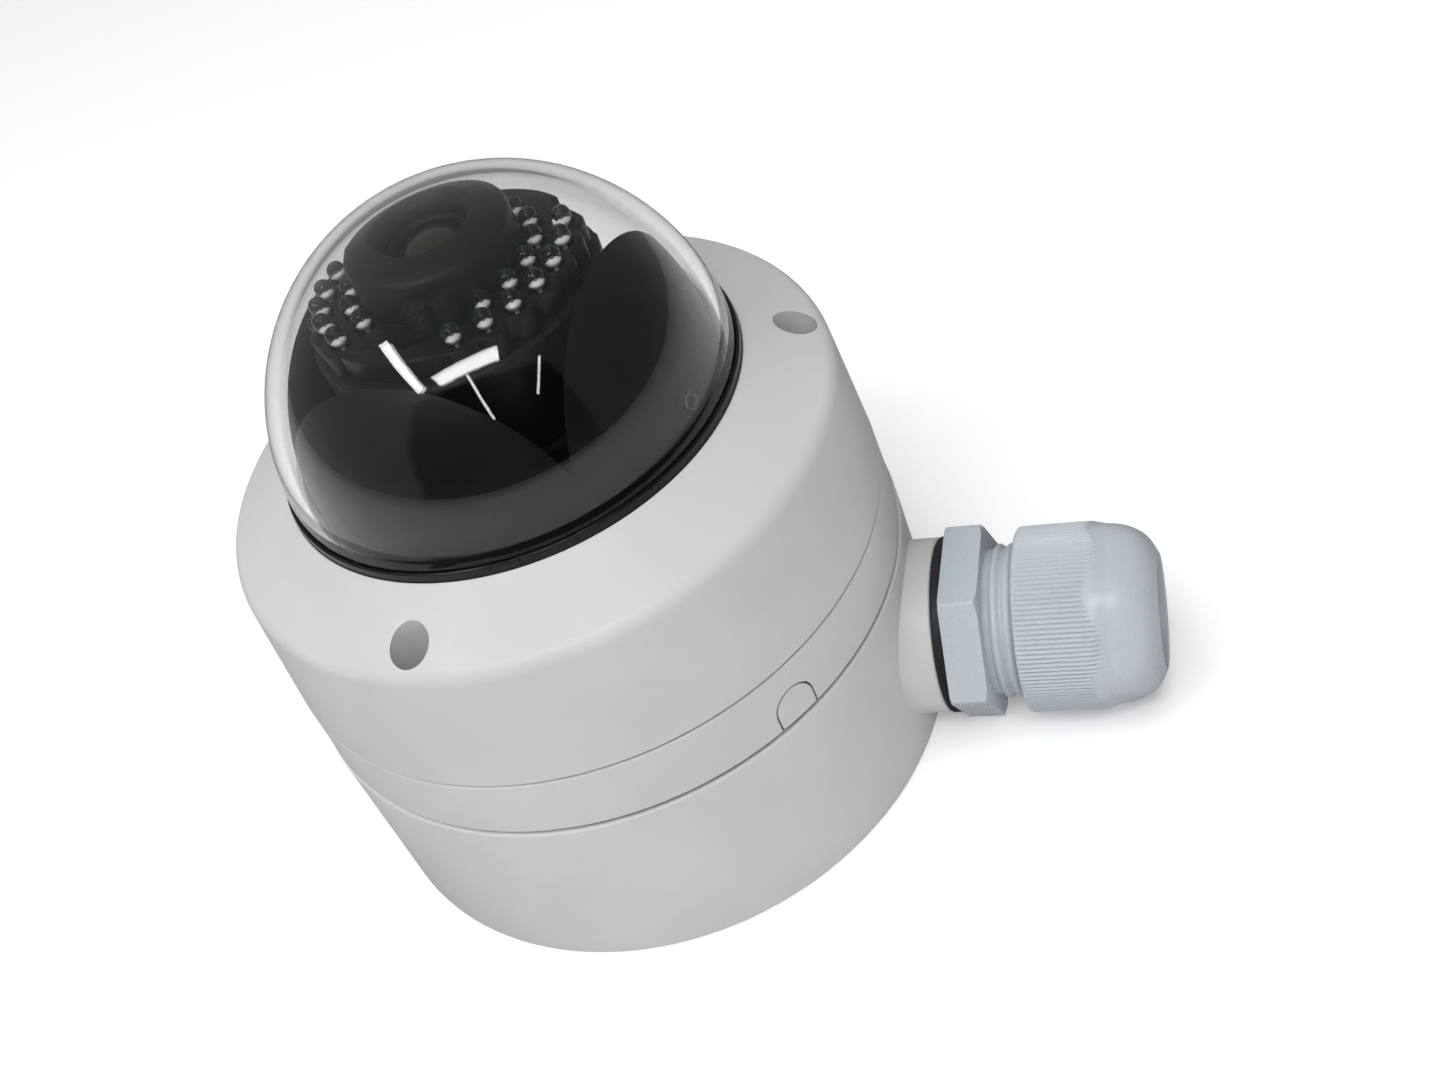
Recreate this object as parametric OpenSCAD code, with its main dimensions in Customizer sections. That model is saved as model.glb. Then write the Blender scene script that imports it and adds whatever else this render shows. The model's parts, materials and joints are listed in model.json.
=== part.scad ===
// Vandal-resistant dome CCTV camera on a round junction box, with a side
// cable gland. Millimetres, +Z up. The origin is the centre of the junction
// box's wall face; the gland points along +X and the clear dome looks to +Z.

/* [Junction box] */
// Outer radius of the box at the wall face
box_r0 = 56.8; // [56.5:0.1:57.5]
// Outer radius of the box at its rim
box_r1 = 56.2; // [56:0.1:56.5]
// Height from the wall face to the camera base
box_h = 36.7; // [35:0.1:46]
// Thickness of the box floor
box_floor = 3.0; // [2.5:0.1:4]
// Radius of the rear cable hole
rear_hole_r = 13.0; // [8:0.5:16]
// Pitch circle diameter of the wall screws
wall_pcd = 78; // [70:1:84]
// Radius of each wall screw hole
wall_hole_r = 2.4; // [2:0.1:2.8]

/* [Cable gland] */
// Height of the gland axis above the wall face
gland_z = 16.6; // [16.6:0.1:17.5]
// Distance from the box axis to the end of the side boss
boss_x = 60.8; // [59:0.1:62]
// Radius of the side boss
boss_r = 15.7; // [14.5:0.1:15.8]
// Width across the flats of the gland's hexagon
hex_af = 31.4; // [30:0.1:32]
// Outer radius of the gland's cap over its ribs
cap_r = 16.45; // [16.2:0.05:16.5]
// Number of ribs round the cap
cap_ribs = 120; // [100:2:130]
// Radius of the cable hole in the seal
cable_r = 4.25; // [3:0.05:6]

/* [Camera housing] */
// Outer radius of the camera base and of the cover's lower edge
base_r = 55.5; // [55.3:0.1:55.8]
// Height of the camera base
base_h = 12.05; // [12.05:0.05:12.3]
// Radius of the cover at its shoulder's corner
shoulder_r = 53.5; // [53:0.1:54]
// Height of the shoulder's corner above the camera base's underside
shoulder_z = 36.5; // [36:0.1:37]
// Rounding of the shoulder
shoulder_round = 3.5; // [2.5:0.1:4.5]
// Radius of the cover's screw recesses
recess_r = 3.15; // [3:0.05:3.3]

/* [Clear dome] */
// Outer radius of the clear dome
dome_r = 39.35; // [39.3:0.01:39.36]
// Wall thickness of the clear dome
dome_t = 2.2; // [1.8:0.1:2.3]
// How far the black lip stands above the cover's opening
lip_h = 1.5; // [1:0.1:2]

/* [Camera head] */
// Direction that the head and its liner face, turned about the vertical axis
aim_rest = -8; // [-20:1:20]
// Radius of the outer ring of lamps
ring_out = 19.55; // [19.5:0.05:19.6]
// Radius of the inner ring of lamps
ring_in = 15.0; // [14.95:0.05:15.1]
// Radius of one lamp
led_r = 1.5; // [1.4:0.05:1.5]
// Radius of the lens hood
hood_r = 13.2; // [12.9:0.1:13.2]
// Half the width of the liner's slot
slot_half = 24.7; // [24.5:0.1:25.2]

/* [Hidden] */
$fn = 96;
eps = 0.01;

box_in_r = 52.6;                 // inside radius of the junction box
gasket_t = 0.6;                  // thickness of the box gasket
base_wall_in = 51.9;             // inside radius of the camera base wall
floor_z = 7.9;                   // underside of the camera base floor
floor_t = 3.0;
piv_z = 43.1;                    // pivot height above the camera base's underside
open_z = 43.2;                   // height of the cover's opening edge
gasket_r = 39.86;                // outer radius of the black lip
open_r = 39.9;                   // radius of the cover's opening
seat_z = 37.3;                   // height of the dome's seat in the cover
cover_screw_az = [-96.1, 20.2, 142.0];
cover_screw_r = 48.2;
base_screw_az = [60, 180, 300];
base_screw_r = 47.5;
leg_az = [90, 210, 330];
leg_r = 39.3;
board_z = 13.9;                  // underside of the main board
notch_az = -38.7;
notch_r = 4.05;
notch_z = 3.15;                  // centre height of the notch's round top
card_az = 240;
button_az = 120;

// Angles of the lamps, counted from the head's lower edge
led_out_az = concat([for (i = [0:6]) 30.5 + 14.65 * i], [for (i = [0:6]) -30.5 - 14.65 * i]);
led_in_az = concat([for (i = [0:6]) 30.5 + 20.1 * i], [for (i = [0:6]) -30.5 - 20.1 * i]);

// Points along an arc
function arc(cx, cy, r, a0, a1, n) =
    [for (i = [0:n]) [cx + r * cos(a0 + (a1 - a0) * i / n), cy + r * sin(a0 + (a1 - a0) * i / n)]];
// Points of a fillet of radius r at corner b, between the lines a-b and b-c
function unit2(v) = v / norm(v);
function fillet(a, b, c, r, n) =
    let (u = unit2(a - b), w = unit2(c - b), half = acos(u * w) / 2,
         ctr = b + unit2(u + w) * r / sin(half),
         t0 = b + u * r / tan(half), t1 = b + w * r / tan(half),
         a0 = atan2(t0[1] - ctr[1], t0[0] - ctr[0]),
         a1r = atan2(t1[1] - ctr[1], t1[0] - ctr[0]),
         a1 = a1r - a0 > 180 ? a1r - 360 : (a1r - a0 < -180 ? a1r + 360 : a1r))
    arc(ctr[0], ctr[1], r, a0, a1, n);

// Camera frame: starts at the camera base's underside
module cam() { translate([0, 0, box_h]) children(); }
// Aimed frame: the camera frame turned to the head's stored direction
module aimed() { translate([0, 0, box_h]) rotate([0, 0, aim_rest]) children(); }
module at(az, r) { rotate([0, 0, az]) translate([r, 0, 0]) children(); }
module tube(ro, ri, z0, z1) {
    translate([0, 0, z0]) difference() {
        cylinder(r = ro, h = z1 - z0);
        translate([0, 0, -1]) cylinder(r = ri, h = z1 - z0 + 2);
    }
}
module xcyl(r, x0, x1) { translate([x0, 0, 0]) rotate([0, 90, 0]) cylinder(r = r, h = x1 - x0); }
// A pan-head screw pointing down from z, with a cross or star recess
module screw(z, head_r, head_h, shank_r, len, star = false) {
    translate([0, 0, z]) difference() {
        union() {
            cylinder(r = head_r, h = head_h - 0.4);
            translate([0, 0, head_h - 0.4]) cylinder(r1 = head_r, r2 = head_r - 0.4, h = 0.4);
            translate([0, 0, -len]) cylinder(r = shank_r, h = len + eps);
        }
        translate([0, 0, head_h - head_h * 0.55])
            if (star) { cylinder(r = head_r * 0.5, h = head_h, $fn = 6); }
            else {
                translate([-head_r * 0.62, -head_r * 0.13, 0]) cube([head_r * 1.24, head_r * 0.26, head_h]);
                translate([-head_r * 0.13, -head_r * 0.62, 0]) cube([head_r * 0.26, head_r * 1.24, head_h]);
            }
    }
}

// ---------- junction box ----------
// Back of the box: a round plate on the wall, inside the box's wall
module junction_back() {
    color([0.89, 0.89, 0.88]) difference() {
        rotate([0, 0, 100]) cylinder(r = box_in_r - 0.1, h = box_floor);
        translate([0, 0, -1]) cylinder(r = rear_hole_r, h = box_floor + 2);
        for (a = [45:90:315]) at(a, wall_pcd / 2) translate([0, 0, -1]) cylinder(r = wall_hole_r, h = box_floor + 2);
    }
}
// Wall of the box, with its screw posts and the boss for the gland
module junction_box() {
    color([0.89, 0.89, 0.88]) difference() {
        union() {
            difference() {
                rotate([0, 0, 100]) rotate_extrude($fn = 180) polygon([[40, 0], [box_r0 - 0.5, 0], [box_r0, 0.5],
                    [box_r1, box_h - gasket_t - 0.5], [box_r1 - 0.5, box_h - gasket_t], [40, box_h - gasket_t]]);
                translate([0, 0, -1]) rotate([0, 0, 100]) cylinder(r = box_in_r, h = box_h + 2);
            }
            translate([0, 0, gland_z]) xcyl(boss_r, box_in_r + 0.8, boss_x);
            for (a = base_screw_az) at(a, base_screw_r) {
                translate([0, 0, box_floor]) cylinder(r = 4.4, h = box_h - gasket_t - box_floor);
                translate([0, -2.5, box_floor]) cube([6.5, 5, box_h - gasket_t - box_floor]);
            }
        }
        translate([0, 0, gland_z]) xcyl(9.9, box_in_r - 8, boss_x + 1);
        for (a = base_screw_az) at(a, base_screw_r) translate([0, 0, box_h - 14]) cylinder(r = 1.65, h = 15);
    }
}
module box_gasket() { color([0.32, 0.33, 0.34]) tube(55.0, 52.8, box_h - gasket_t, box_h); }
module base_screws() {
    color([0.72, 0.73, 0.74]) cam() for (a = base_screw_az) at(a, base_screw_r)
        screw(floor_z + floor_t, 3.9, 2.6, 1.6, 22);
}

// ---------- cable gland ----------
module gland_washer() {
    color([0.10, 0.10, 0.11]) translate([0, 0, gland_z]) difference() {
        xcyl(15.8, boss_x, boss_x + 1.8);
        xcyl(10.0, boss_x - 1, boss_x + 3);
    }
}
module gland_body() {
    x0 = boss_x + 1.8;
    color([0.77, 0.79, 0.82]) translate([0, 0, gland_z]) difference() {
        union() {
            xcyl(9.85, box_in_r - 5, x0 + 1);
            // chamfered hexagon
            intersection() {
                translate([x0, 0, 0]) rotate([0, 90, 0]) rotate([0, 0, 30]) cylinder(r = hex_af / sqrt(3), h = 6.6, $fn = 6);
                translate([x0, 0, 0]) rotate([0, 90, 0]) rotate_extrude() polygon([[0, 0], [hex_af / sqrt(3) - 0.6, 0],
                    [hex_af / sqrt(3) + 0.2, 0.8], [hex_af / sqrt(3) + 0.2, 4.4], [hex_af / 2 - 0.1, 5.3], [13.9, 6.6], [0, 6.6]]);
            }
            // neck with rounded thread ridges
            translate([x0 + 6.5, 0, 0]) rotate([0, 90, 0]) rotate_extrude() polygon(concat([[0, 0], [12.9, 0]],
                [for (k = [0:5]) each [[12.9, 1.3 + 2.15 * k], [13.4, 1.6 + 2.15 * k], [13.7, 2.15 + 2.15 * k], [13.4, 2.7 + 2.15 * k], [12.9, 3.0 + 2.15 * k]]],
                [[12.6, 14.6], [11.4, 19.0], [0, 19.0]]));
        }
        xcyl(7.2, 40, x0 + 12);
        xcyl(9.3, x0 + 11, 120);
        // slits between the clamping fingers
        for (a = [0:45:135]) rotate([a, 0, 0]) translate([x0 + 21, -20, -0.5]) cube([12, 40, 1.0]);
    }
}
module gland_seal() {
    x0 = boss_x + 1.8;
    color([0.36, 0.38, 0.41]) translate([0, 0, gland_z]) translate([x0 + 12.2, 0, 0]) rotate([0, 90, 0])
        rotate_extrude() polygon([[cable_r, 0], [9.25, 0], [9.25, 13.6], [8.9, 14.6], [8.9, 19.2], [8.2, 20.0], [cable_r + 1.2, 20.0], [cable_r, 19.0]]);
}
module gland_cap() {
    x0 = boss_x + 13.9;
    len = 23.7;
    color([0.77, 0.79, 0.82]) translate([x0, 0, gland_z]) rotate([0, 90, 0]) difference() {
        union() {
            // axially ribbed skirt
            intersection() {
                linear_extrude(height = 17) polygon([for (i = [0:4 * cap_ribs - 1])
                    let (a = i * 90 / cap_ribs, r = [cap_r, cap_r, cap_r - 0.36, cap_r - 0.36][i % 4]) [r * cos(a), r * sin(a)]]);
                rotate_extrude() polygon(concat([[0, 0], [cap_r - 0.9, 0]], arc(cap_r - 0.9, 0.9, 0.9, -90, 0, 4),
                    [[cap_r, 13.5], [cap_r - 0.5, 15.2], [cap_r - 1.4, 17], [0, 17]]));
            }
            // smooth domed end
            rotate_extrude() polygon(concat([[0, 1], [cap_r - 0.45, 1]], arc(cap_r - 8.45, 15.8, 8, 0, 72, 12), [[cap_r - 6.3, len], [0, len]]));
        }
        translate([0, 0, -1]) cylinder(r = 13.78, h = 13.8);
        translate([0, 0, 12.79]) cylinder(r1 = 13.78, r2 = 9.5, h = 7.6);
        translate([0, 0, 10]) cylinder(r = 9.5, h = 30);
    }
}

// ---------- camera base ----------
module notch_shape(grow, r0, r1) {
    at(notch_az, 0) {
        translate([0, 0, notch_z]) xcyl(notch_r + grow, r0, r1);
        translate([r0, -notch_r - grow, grow < 0 ? -grow : -1]) cube([r1 - r0, 2 * (notch_r + grow), notch_z + (grow < 0 ? grow : 1)]);
    }
}
module camera_base() {
    color([0.89, 0.89, 0.88]) cam() difference() {
        union() {
            rotate_extrude($fn = 180) polygon([[base_wall_in, 0], [base_r + 0.1, 0], [base_r + 0.4, 0.35],
                [base_r, base_h - 0.35], [base_r - 0.35, base_h], [base_wall_in, base_h]]);
            translate([0, 0, floor_z]) cylinder(r = base_wall_in + 0.5, h = floor_t);
            for (a = base_screw_az) at(a, base_screw_r) {
                translate([0, 0, -gasket_t]) cylinder(r = 4.3, h = floor_z + 1 + gasket_t);
            }
            for (a = cover_screw_az) at(a, cover_screw_r) {
                translate([0, 0, 3]) cylinder(r = 4.4, h = base_h - 3);
            }
            for (a = [30, 150, 270]) at(a, 30) translate([0, 0, floor_z + 1]) cylinder(r = 3, h = board_z - floor_z - 1);
        }
        // groove for the cover gasket
        tube(54.0, 52.7, base_h - 1.0, base_h + 1);
        // side cable notch
        notch_shape(0, 48, 60);
        translate([0, 0, 0]) cylinder(r = 7, h = 20);
        for (a = base_screw_az) at(a, base_screw_r) translate([0, 0, -2]) cylinder(r = 2.1, h = 20);
        for (a = cover_screw_az) at(a, cover_screw_r) translate([0, 0, 4.2]) cylinder(r = 1.5, h = 20);
        for (a = [30, 150, 270]) at(a, 30) translate([0, 0, floor_z + 1.5]) cylinder(r = 1.05, h = 20);
        for (a = leg_az) at(a, leg_r) translate([0, 0, floor_z + 0.8]) cylinder(r = 1.05, h = 20);
    }
}
module notch_plug() {
    color([0.89, 0.89, 0.88]) cam() intersection() {
        notch_shape(-0.27, 50.6, 60);
        cylinder(r = base_r + 0.1, h = 20);
    }
}
module pigtail_grommet() {
    color([0.10, 0.10, 0.11]) cam() rotate_extrude() polygon([[3.5, floor_z - 1.4], [8.6, floor_z - 1.4], [9, floor_z - 1], [9, floor_z - eps],
        [6.95, floor_z - eps], [6.95, floor_z + floor_t + eps], [9, floor_z + floor_t + eps], [9, floor_z + floor_t + 0.9], [8.4, floor_z + floor_t + 1.4], [3.5, floor_z + floor_t + 1.4]]);
}
module cover_gasket() { color([0.12, 0.12, 0.13]) cam() tube(53.9, 52.8, base_h - 1.0, base_h); }
module main_board() {
    color([0.07, 0.30, 0.16]) cam() difference() {
        tube(42, 10, board_z, board_z + 1.6);
        for (a = leg_az) at(a, leg_r) translate([0, 0, 10]) cylinder(r = 2.9, h = 10);
        for (a = [30, 150, 270]) at(a, 30) translate([0, 0, 10]) cylinder(r = 1.3, h = 10);
    }
}
module board_screws() {
    color([0.75, 0.76, 0.77]) cam() for (a = [30, 150, 270]) at(a, 30) screw(board_z + 1.6, 2.3, 1.1, 1.0, 5.5);
}
module board_connector() {
    color([0.90, 0.89, 0.83]) cam() at(20, 39.6) difference() {
        translate([-1.9, -5, board_z + 1.6]) cube([3.8, 10, 4.6]);
        translate([-1.2, -4.2, board_z + 3.0]) cube([2.4, 8.4, 8]);
    }
}
module card_socket() {
    color([0.78, 0.79, 0.80]) cam() at(card_az, 0) difference() {
        translate([25, -7.2, board_z + 1.6]) cube([14.4, 14.4, 2.1]);
        translate([26, -5.75, board_z + 2.05]) cube([20, 11.5, 1.3]);
    }
}
module memory_card() {
    color([0.08, 0.08, 0.09]) cam() at(card_az, 0) difference() {
        translate([26.3, -5.5, board_z + 2.2]) cube([15, 11, 1.0]);
        translate([26.2, 3.9, board_z + 2]) cube([6.4, 2, 2]);
    }
}
module reset_switch() {
    color([0.16, 0.16, 0.17]) cam() at(button_az, 39.4) difference() {
        translate([-2.3, -2.3, board_z + 1.6]) cube([4.6, 4.6, 2.2]);
        translate([0, 0, board_z + 2.2]) cylinder(r = 1.15, h = 8);
    }
}
module reset_button() {
    color([0.75, 0.12, 0.10]) cam() at(button_az, 39.4) {
        translate([0, 0, board_z + 2.9]) cylinder(r = 1.08, h = 1.6);
        translate([0, 0, board_z + 4.3]) cylinder(r = 1.6, h = 1.2);
    }
}

// ---------- pan stage ----------
pan_z = board_z + 3.0;           // underside of the fixed pan plate
module pan_base() {
    color([0.13, 0.13, 0.14]) cam() difference() {
        union() {
            translate([0, 0, pan_z]) cylinder(r = 36.6, h = 1.8);
            translate([0, 0, pan_z]) cylinder(r = 20, h = 4.4);
            for (a = leg_az) at(a, leg_r) {
                translate([0, 0, floor_z + floor_t]) cylinder(r = 2.4, h = pan_z + 1.8 - floor_z - floor_t);
                translate([-5, -2.4, pan_z]) cube([5, 4.8, 1.8]);
            }
        }
        translate([0, 0, pan_z - 1]) cylinder(r = 17, h = 10);
        at(card_az, 0) translate([24.4, -7.6, pan_z - 1]) cube([20, 15.2, 10]);
        for (a = leg_az) at(a, leg_r) translate([0, 0, 5]) cylinder(r = 1.25, h = 30);
    }
}
module pan_base_screws() {
    color([0.75, 0.76, 0.77]) cam() for (a = leg_az) at(a, leg_r) screw(pan_z + 1.8, 2.1, 1.4, 1.0, pan_z + 1.8 - floor_z - 1.0);
}
module friction_washer() { color([0.86, 0.85, 0.80]) cam() tube(24.1, 20.3, pan_z + 1.8, pan_z + 2.1); }
module pan_lock_ring() { color([0.13, 0.13, 0.14]) cam() tube(22.6, 17, pan_z + 4.4, pan_z + 5.6); }
module pan_ring() {
    color([0.11, 0.11, 0.12]) aimed() difference() {
        tube(36.2, 20.06, pan_z + 2.1, pan_z + 4.3);
        for (s = [-1, 1], y = [-5, 5]) translate([s * 25.3, y, 0]) cylinder(r = 1.02, h = 40);
    }
}
module tilt_brackets() {
    zb = pan_z + 4.3;
    color([0.14, 0.14, 0.15]) aimed() for (s = [0, 1]) mirror([s, 0, 0]) difference() {
        union() {
            translate([27.6, -8, zb]) cube([2.5, 16, piv_z - zb]);
            translate([0, 0, piv_z]) xcyl(8, 27.6, 30.1);
            translate([23.2, -8, zb]) cube([6.9, 16, 2]);
        }
        translate([0, 0, piv_z]) xcyl(2.6, 20, 40);
        for (y = [-5, 5]) translate([25.3, y, zb - 1]) cylinder(r = 1.15, h = 6);
        // window that lightens the arm
        translate([26, -3.6, zb + 5]) cube([6, 7.2, piv_z - zb - 15]);
    }
}
module bracket_screws() {
    color([0.75, 0.76, 0.77]) aimed() for (s = [-1, 1], y = [-5, 5]) translate([s * 25.3, y, 0])
        screw(pan_z + 6.3, 1.9, 1.3, 1.0, 4.0);
}
module liner() {
    color([0.07, 0.07, 0.08]) aimed() difference() {
        rotate_extrude() polygon(concat([[34.5, pan_z + 4.3], [35.8, pan_z + 4.3]],
            arc(0, piv_z, 35.8, 0, 88, 22), arc(0, piv_z, 34.5, 88, 0, 22)));
        translate([-slot_half, -24.9, piv_z]) cube([2 * slot_half, 80, 50]);
        translate([-slot_half, 0, 26.3]) cube([2 * slot_half, 80, 50]);
    }
}

// ---------- tilt stage ----------
module tilt_cradle() {
    color([0.12, 0.12, 0.13]) aimed() difference() {
        union() {
            tube(25, 22, piv_z - 5.8, piv_z + 6.2);
            for (s = [0, 1]) mirror([s, 0, 0]) translate([0, 0, piv_z]) xcyl(4.6, 23.5, 27.3);
        }
        cyl_h = 20;
        translate([0, 0, piv_z - 10]) cylinder(r = 22, h = cyl_h);
        translate([0, 0, piv_z]) xcyl(1.5, -30, 30);
    }
}
module pivot_screws() {
    color([0.30, 0.31, 0.32]) aimed() for (s = [0, 1]) mirror([s, 0, 0]) translate([0, 0, piv_z]) difference() {
        union() {
            xcyl(1.45, 22.5, 28);
            xcyl(2.55, 27.3, 30.5);
            xcyl(4.8, 30.4, 32.4);
        }
        translate([31.4, -3.2, -0.5]) cube([3, 6.4, 1.0]);
        translate([31.4, -0.5, -3.2]) cube([3, 1.0, 6.4]);
    }
}

// ---------- camera head ----------
module head_shell() {
    p = piv_z;
    color([0.09, 0.09, 0.10]) aimed() {
        difference() {
        rotate_extrude() polygon([[4, p - 17.8], [12, p - 17.8], [15, p - 15.6], [20.2, p - 10.6], [21.95, p - 8.2], [21.95, p + 6.3],
            [23.2, p + 6.3], [23.6, p + 6.8], [23.6, p + 22.8], [23.0, p + 23.4], [19.6, p + 23.4], [19.6, p + 22.2], [21.6, p + 20.6], [21.6, p + 8.6],
            [20.2, p + 6.6], [20.2, p - 7.8], [18.9, p - 9.6], [14.2, p - 14.2], [11.4, p - 16.1], [4, p - 16.1]]);
        // finger grips in the rim
        for (s = [-1, 1]) rotate([0, 0, -90 + s * 133]) translate([22.4, -4, p + 21.2]) cube([3, 8, 4]);
        }
        // posts that carry the sensor board
        for (x = [-10.6, 10.6], y = [-10.6, 10.6]) translate([x, y, p - 13.7]) cylinder(r = 1.7, h = 13.7 + 7.3);
    }
}
module head_clip() { color([0.15, 0.15, 0.16]) aimed() tube(24.2, 21.98, piv_z - 7.3, piv_z - 6.1); }
module sensor_board() {
    color([0.07, 0.30, 0.16]) aimed() translate([-13, -13, piv_z + 7.3]) cube([26, 26, 1.6]);
}
module sensor_chip() {
    color([0.25, 0.26, 0.30]) aimed() translate([-4.5, -4.5, piv_z + 8.9]) cube([9, 9, 1.2]);
}
module lens_holder() {
    color([0.12, 0.12, 0.13]) aimed() difference() {
        union() {
            translate([-8, -8, piv_z + 8.9]) cube([16, 16, 6]);
            translate([0, 0, piv_z + 14.8]) cylinder(r = 8, h = 5);
        }
        translate([0, 0, piv_z + 11]) cylinder(r = 6.03, h = 20);
        translate([-5.5, -5.5, piv_z + 8]) cube([11, 11, 3.1]);
    }
}
module lens_barrel() {
    color([0.07, 0.07, 0.08]) aimed() difference() {
        union() {
            translate([0, 0, piv_z + 13.2]) cylinder(r = 6.0, h = 13);
            translate([0, 0, piv_z + 26.1]) cylinder(r = 6.5, h = 7.1);
        }
        translate([0, 0, piv_z + 12]) cylinder(r = 4.2, h = 19);
        translate([0, 0, piv_z + 30.9]) cylinder(r = 5.55, h = 5);
    }
}
module lens_glass() {
    // front element: a shallow dome on a short cylinder
    color([0.35, 0.30, 0.22]) aimed() intersection() {
        translate([0, 0, piv_z + 30.9]) cylinder(r = 5.5, h = 5);
        translate([0, 0, piv_z + 33.9 - 9]) sphere(r = 9);
    }
}
module led_outline(base, lobe) {
    circle(r = base);
    for (a = led_out_az) rotate(-90 + a) translate([ring_out, 0]) circle(r = lobe, $fn = 48);
}
module led_board() {
    color([0.05, 0.12, 0.08]) aimed() difference() {
        tube(20.9, 14.0 - 0.9, piv_z + 23.5, piv_z + 25.1);
        translate([0, 0, piv_z + 20]) cylinder(r = 13.2, h = 10);
    }
}
module leds() {
    color([0.93, 0.95, 0.97, 0.6]) aimed() {
        for (a = led_out_az) rotate([0, 0, -90 + a]) translate([ring_out, 0, piv_z + 25.1]) one_led();
        for (a = led_in_az) rotate([0, 0, -90 + a]) translate([ring_in, 0, piv_z + 25.1]) one_led();
    }
}
module one_led() {
    cylinder(r = led_r, h = 3.8, $fn = 32);
    translate([0, 0, 3.8]) sphere(r = led_r, $fn = 32);
}
module led_plate() {
    color([0.08, 0.08, 0.09]) aimed() difference() {
        translate([0, 0, piv_z + 23.5]) linear_extrude(height = 3.9) led_outline(21.45, 3.0);
        translate([0, 0, piv_z + 22]) cylinder(r = 20.95, h = 3.4);
        translate([0, 0, piv_z + 22]) cylinder(r = 12.85, h = 10);
        for (a = led_out_az) rotate([0, 0, -90 + a]) translate([ring_out, 0, piv_z + 20]) cylinder(r = led_r + 0.1, h = 10, $fn = 32);
        for (a = led_in_az) rotate([0, 0, -90 + a]) translate([ring_in, 0, piv_z + 20]) cylinder(r = led_r + 0.1, h = 10, $fn = 32);
        rotate([0, 0, -90 + 17]) translate([15.6, 0, piv_z + 20]) cylinder(r = 1.7, h = 10, $fn = 32);
        // finger grips in the rim
        for (s = [-1, 1]) rotate([0, 0, -90 + s * 133]) translate([19.5, -4, piv_z + 25.9]) cube([6, 8, 4]);
    }
}
module light_sensor() {
    color([0.20, 0.17, 0.13]) aimed() rotate([0, 0, -90 + 17]) translate([15.6, 0, piv_z + 25.1]) cylinder(r = 1.5, h = 1.2, $fn = 32);
}
module lens_hood() {
    p = piv_z;
    color([0.06, 0.06, 0.065]) aimed() rotate_extrude() polygon(concat([[6.7, p + 22.4], [14.6, p + 22.4], [14.6, p + 23.4], [12.75, p + 23.4], [12.75, p + 27.6],
        [hood_r, p + 28.2], [hood_r, p + 33.1]], arc(hood_r - 1.3, p + 33.1, 1.3, 12, 62, 4),
        [for (r = [11.4, 10.2, 9.0, 8.2]) [r, p + sqrt(36.7 * 36.7 - r * r)]], [[7.7, p + 35.6], [7.0, p + 35.1], [6.7, p + 34.3]]));
}

// ---------- cover and clear dome ----------
module cover() {
    a = [base_r, base_h + 0.35];
    b = [shoulder_r, shoulder_z];
    c = [42.2, open_z - 1.05];
    color([0.89, 0.89, 0.88]) cam() difference() {
        union() {
            rotate_extrude($fn = 180) polygon(concat([[base_wall_in + 0.6, base_h], [base_r - 0.35, base_h], a],
                fillet(a, b, c, shoulder_round, 8),
                [c, [open_r + 0.25, open_z], [open_r, open_z - 0.2], [open_r, seat_z], [46.2, seat_z], [46.2, seat_z - 2.4],
                 [50.4, seat_z - 2.4], [51.2, seat_z - 4.4]]));
            // posts round the screws
            for (z = cover_screw_az) intersection() {
                at(z, cover_screw_r) translate([0, 0, base_h]) cylinder(r = 4.7, h = 40);
                rotate_extrude($fn = 180) polygon([[20, base_h], [base_r - 1.5, base_h], [51.9, shoulder_z - 0.6], [44, 39.4], [20, 39.4]]);
            }
            // bosses for the retainer's screws
            for (z = cover_screw_az) at(z + 60, 47.8) translate([0, 0, seat_z - 2.8]) cylinder(r = 1.95, h = 2.6);
        }
        for (z = cover_screw_az) at(z, cover_screw_r) {
            translate([0, 0, 21]) cylinder(r = recess_r, h = 40);
            translate([0, 0, base_h - 1]) cylinder(r = 1.75, h = 20);
        }
        for (z = cover_screw_az) at(z + 60, 47.8) translate([0, 0, seat_z - 4]) cylinder(r = 1.22, h = 3.8);
    }
}
module cover_screws() {
    color([0.66, 0.67, 0.68]) cam() for (a = cover_screw_az) at(a, cover_screw_r) screw(21, 2.75, 2.6, 1.45, 15.5, true);
}
module post_clearance(z0, z1) {
    for (a = cover_screw_az) at(a, cover_screw_r) translate([0, 0, z0]) cylinder(r = 5.0, h = z1 - z0);
}
module bubble() {
    color([0.75, 0.78, 0.80, 0.3]) cam() difference() {
        rotate_extrude($fn = 144) polygon(concat([[dome_r - dome_t, seat_z - 2.8], [45.6, seat_z - 2.8], [45.6, seat_z - 0.8], [dome_r, seat_z - 0.8]],
            [for (a = [0:3.75:86.25]) [dome_r * cos(a), piv_z + dome_r * sin(a)]], [[0, piv_z + dome_r], [0, piv_z + dome_r - dome_t]],
            [for (a = [86.25:-3.75:0]) [(dome_r - dome_t) * cos(a), piv_z + (dome_r - dome_t) * sin(a)]]));
        post_clearance(seat_z - 5, seat_z);
    }
}
module bubble_gasket() {
    color([0.03, 0.03, 0.035]) cam() difference() {
        rotate_extrude($fn = 180) polygon([[dome_r + 0.02, seat_z - 0.8], [45.7, seat_z - 0.8], [45.7, seat_z], [gasket_r, seat_z],
            [gasket_r, open_z + lip_h - 0.25], [gasket_r - 0.15, open_z + lip_h], [dome_r + 0.02, open_z + lip_h]]);
        post_clearance(seat_z - 2, seat_z + 0.5);
    }
}
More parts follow.
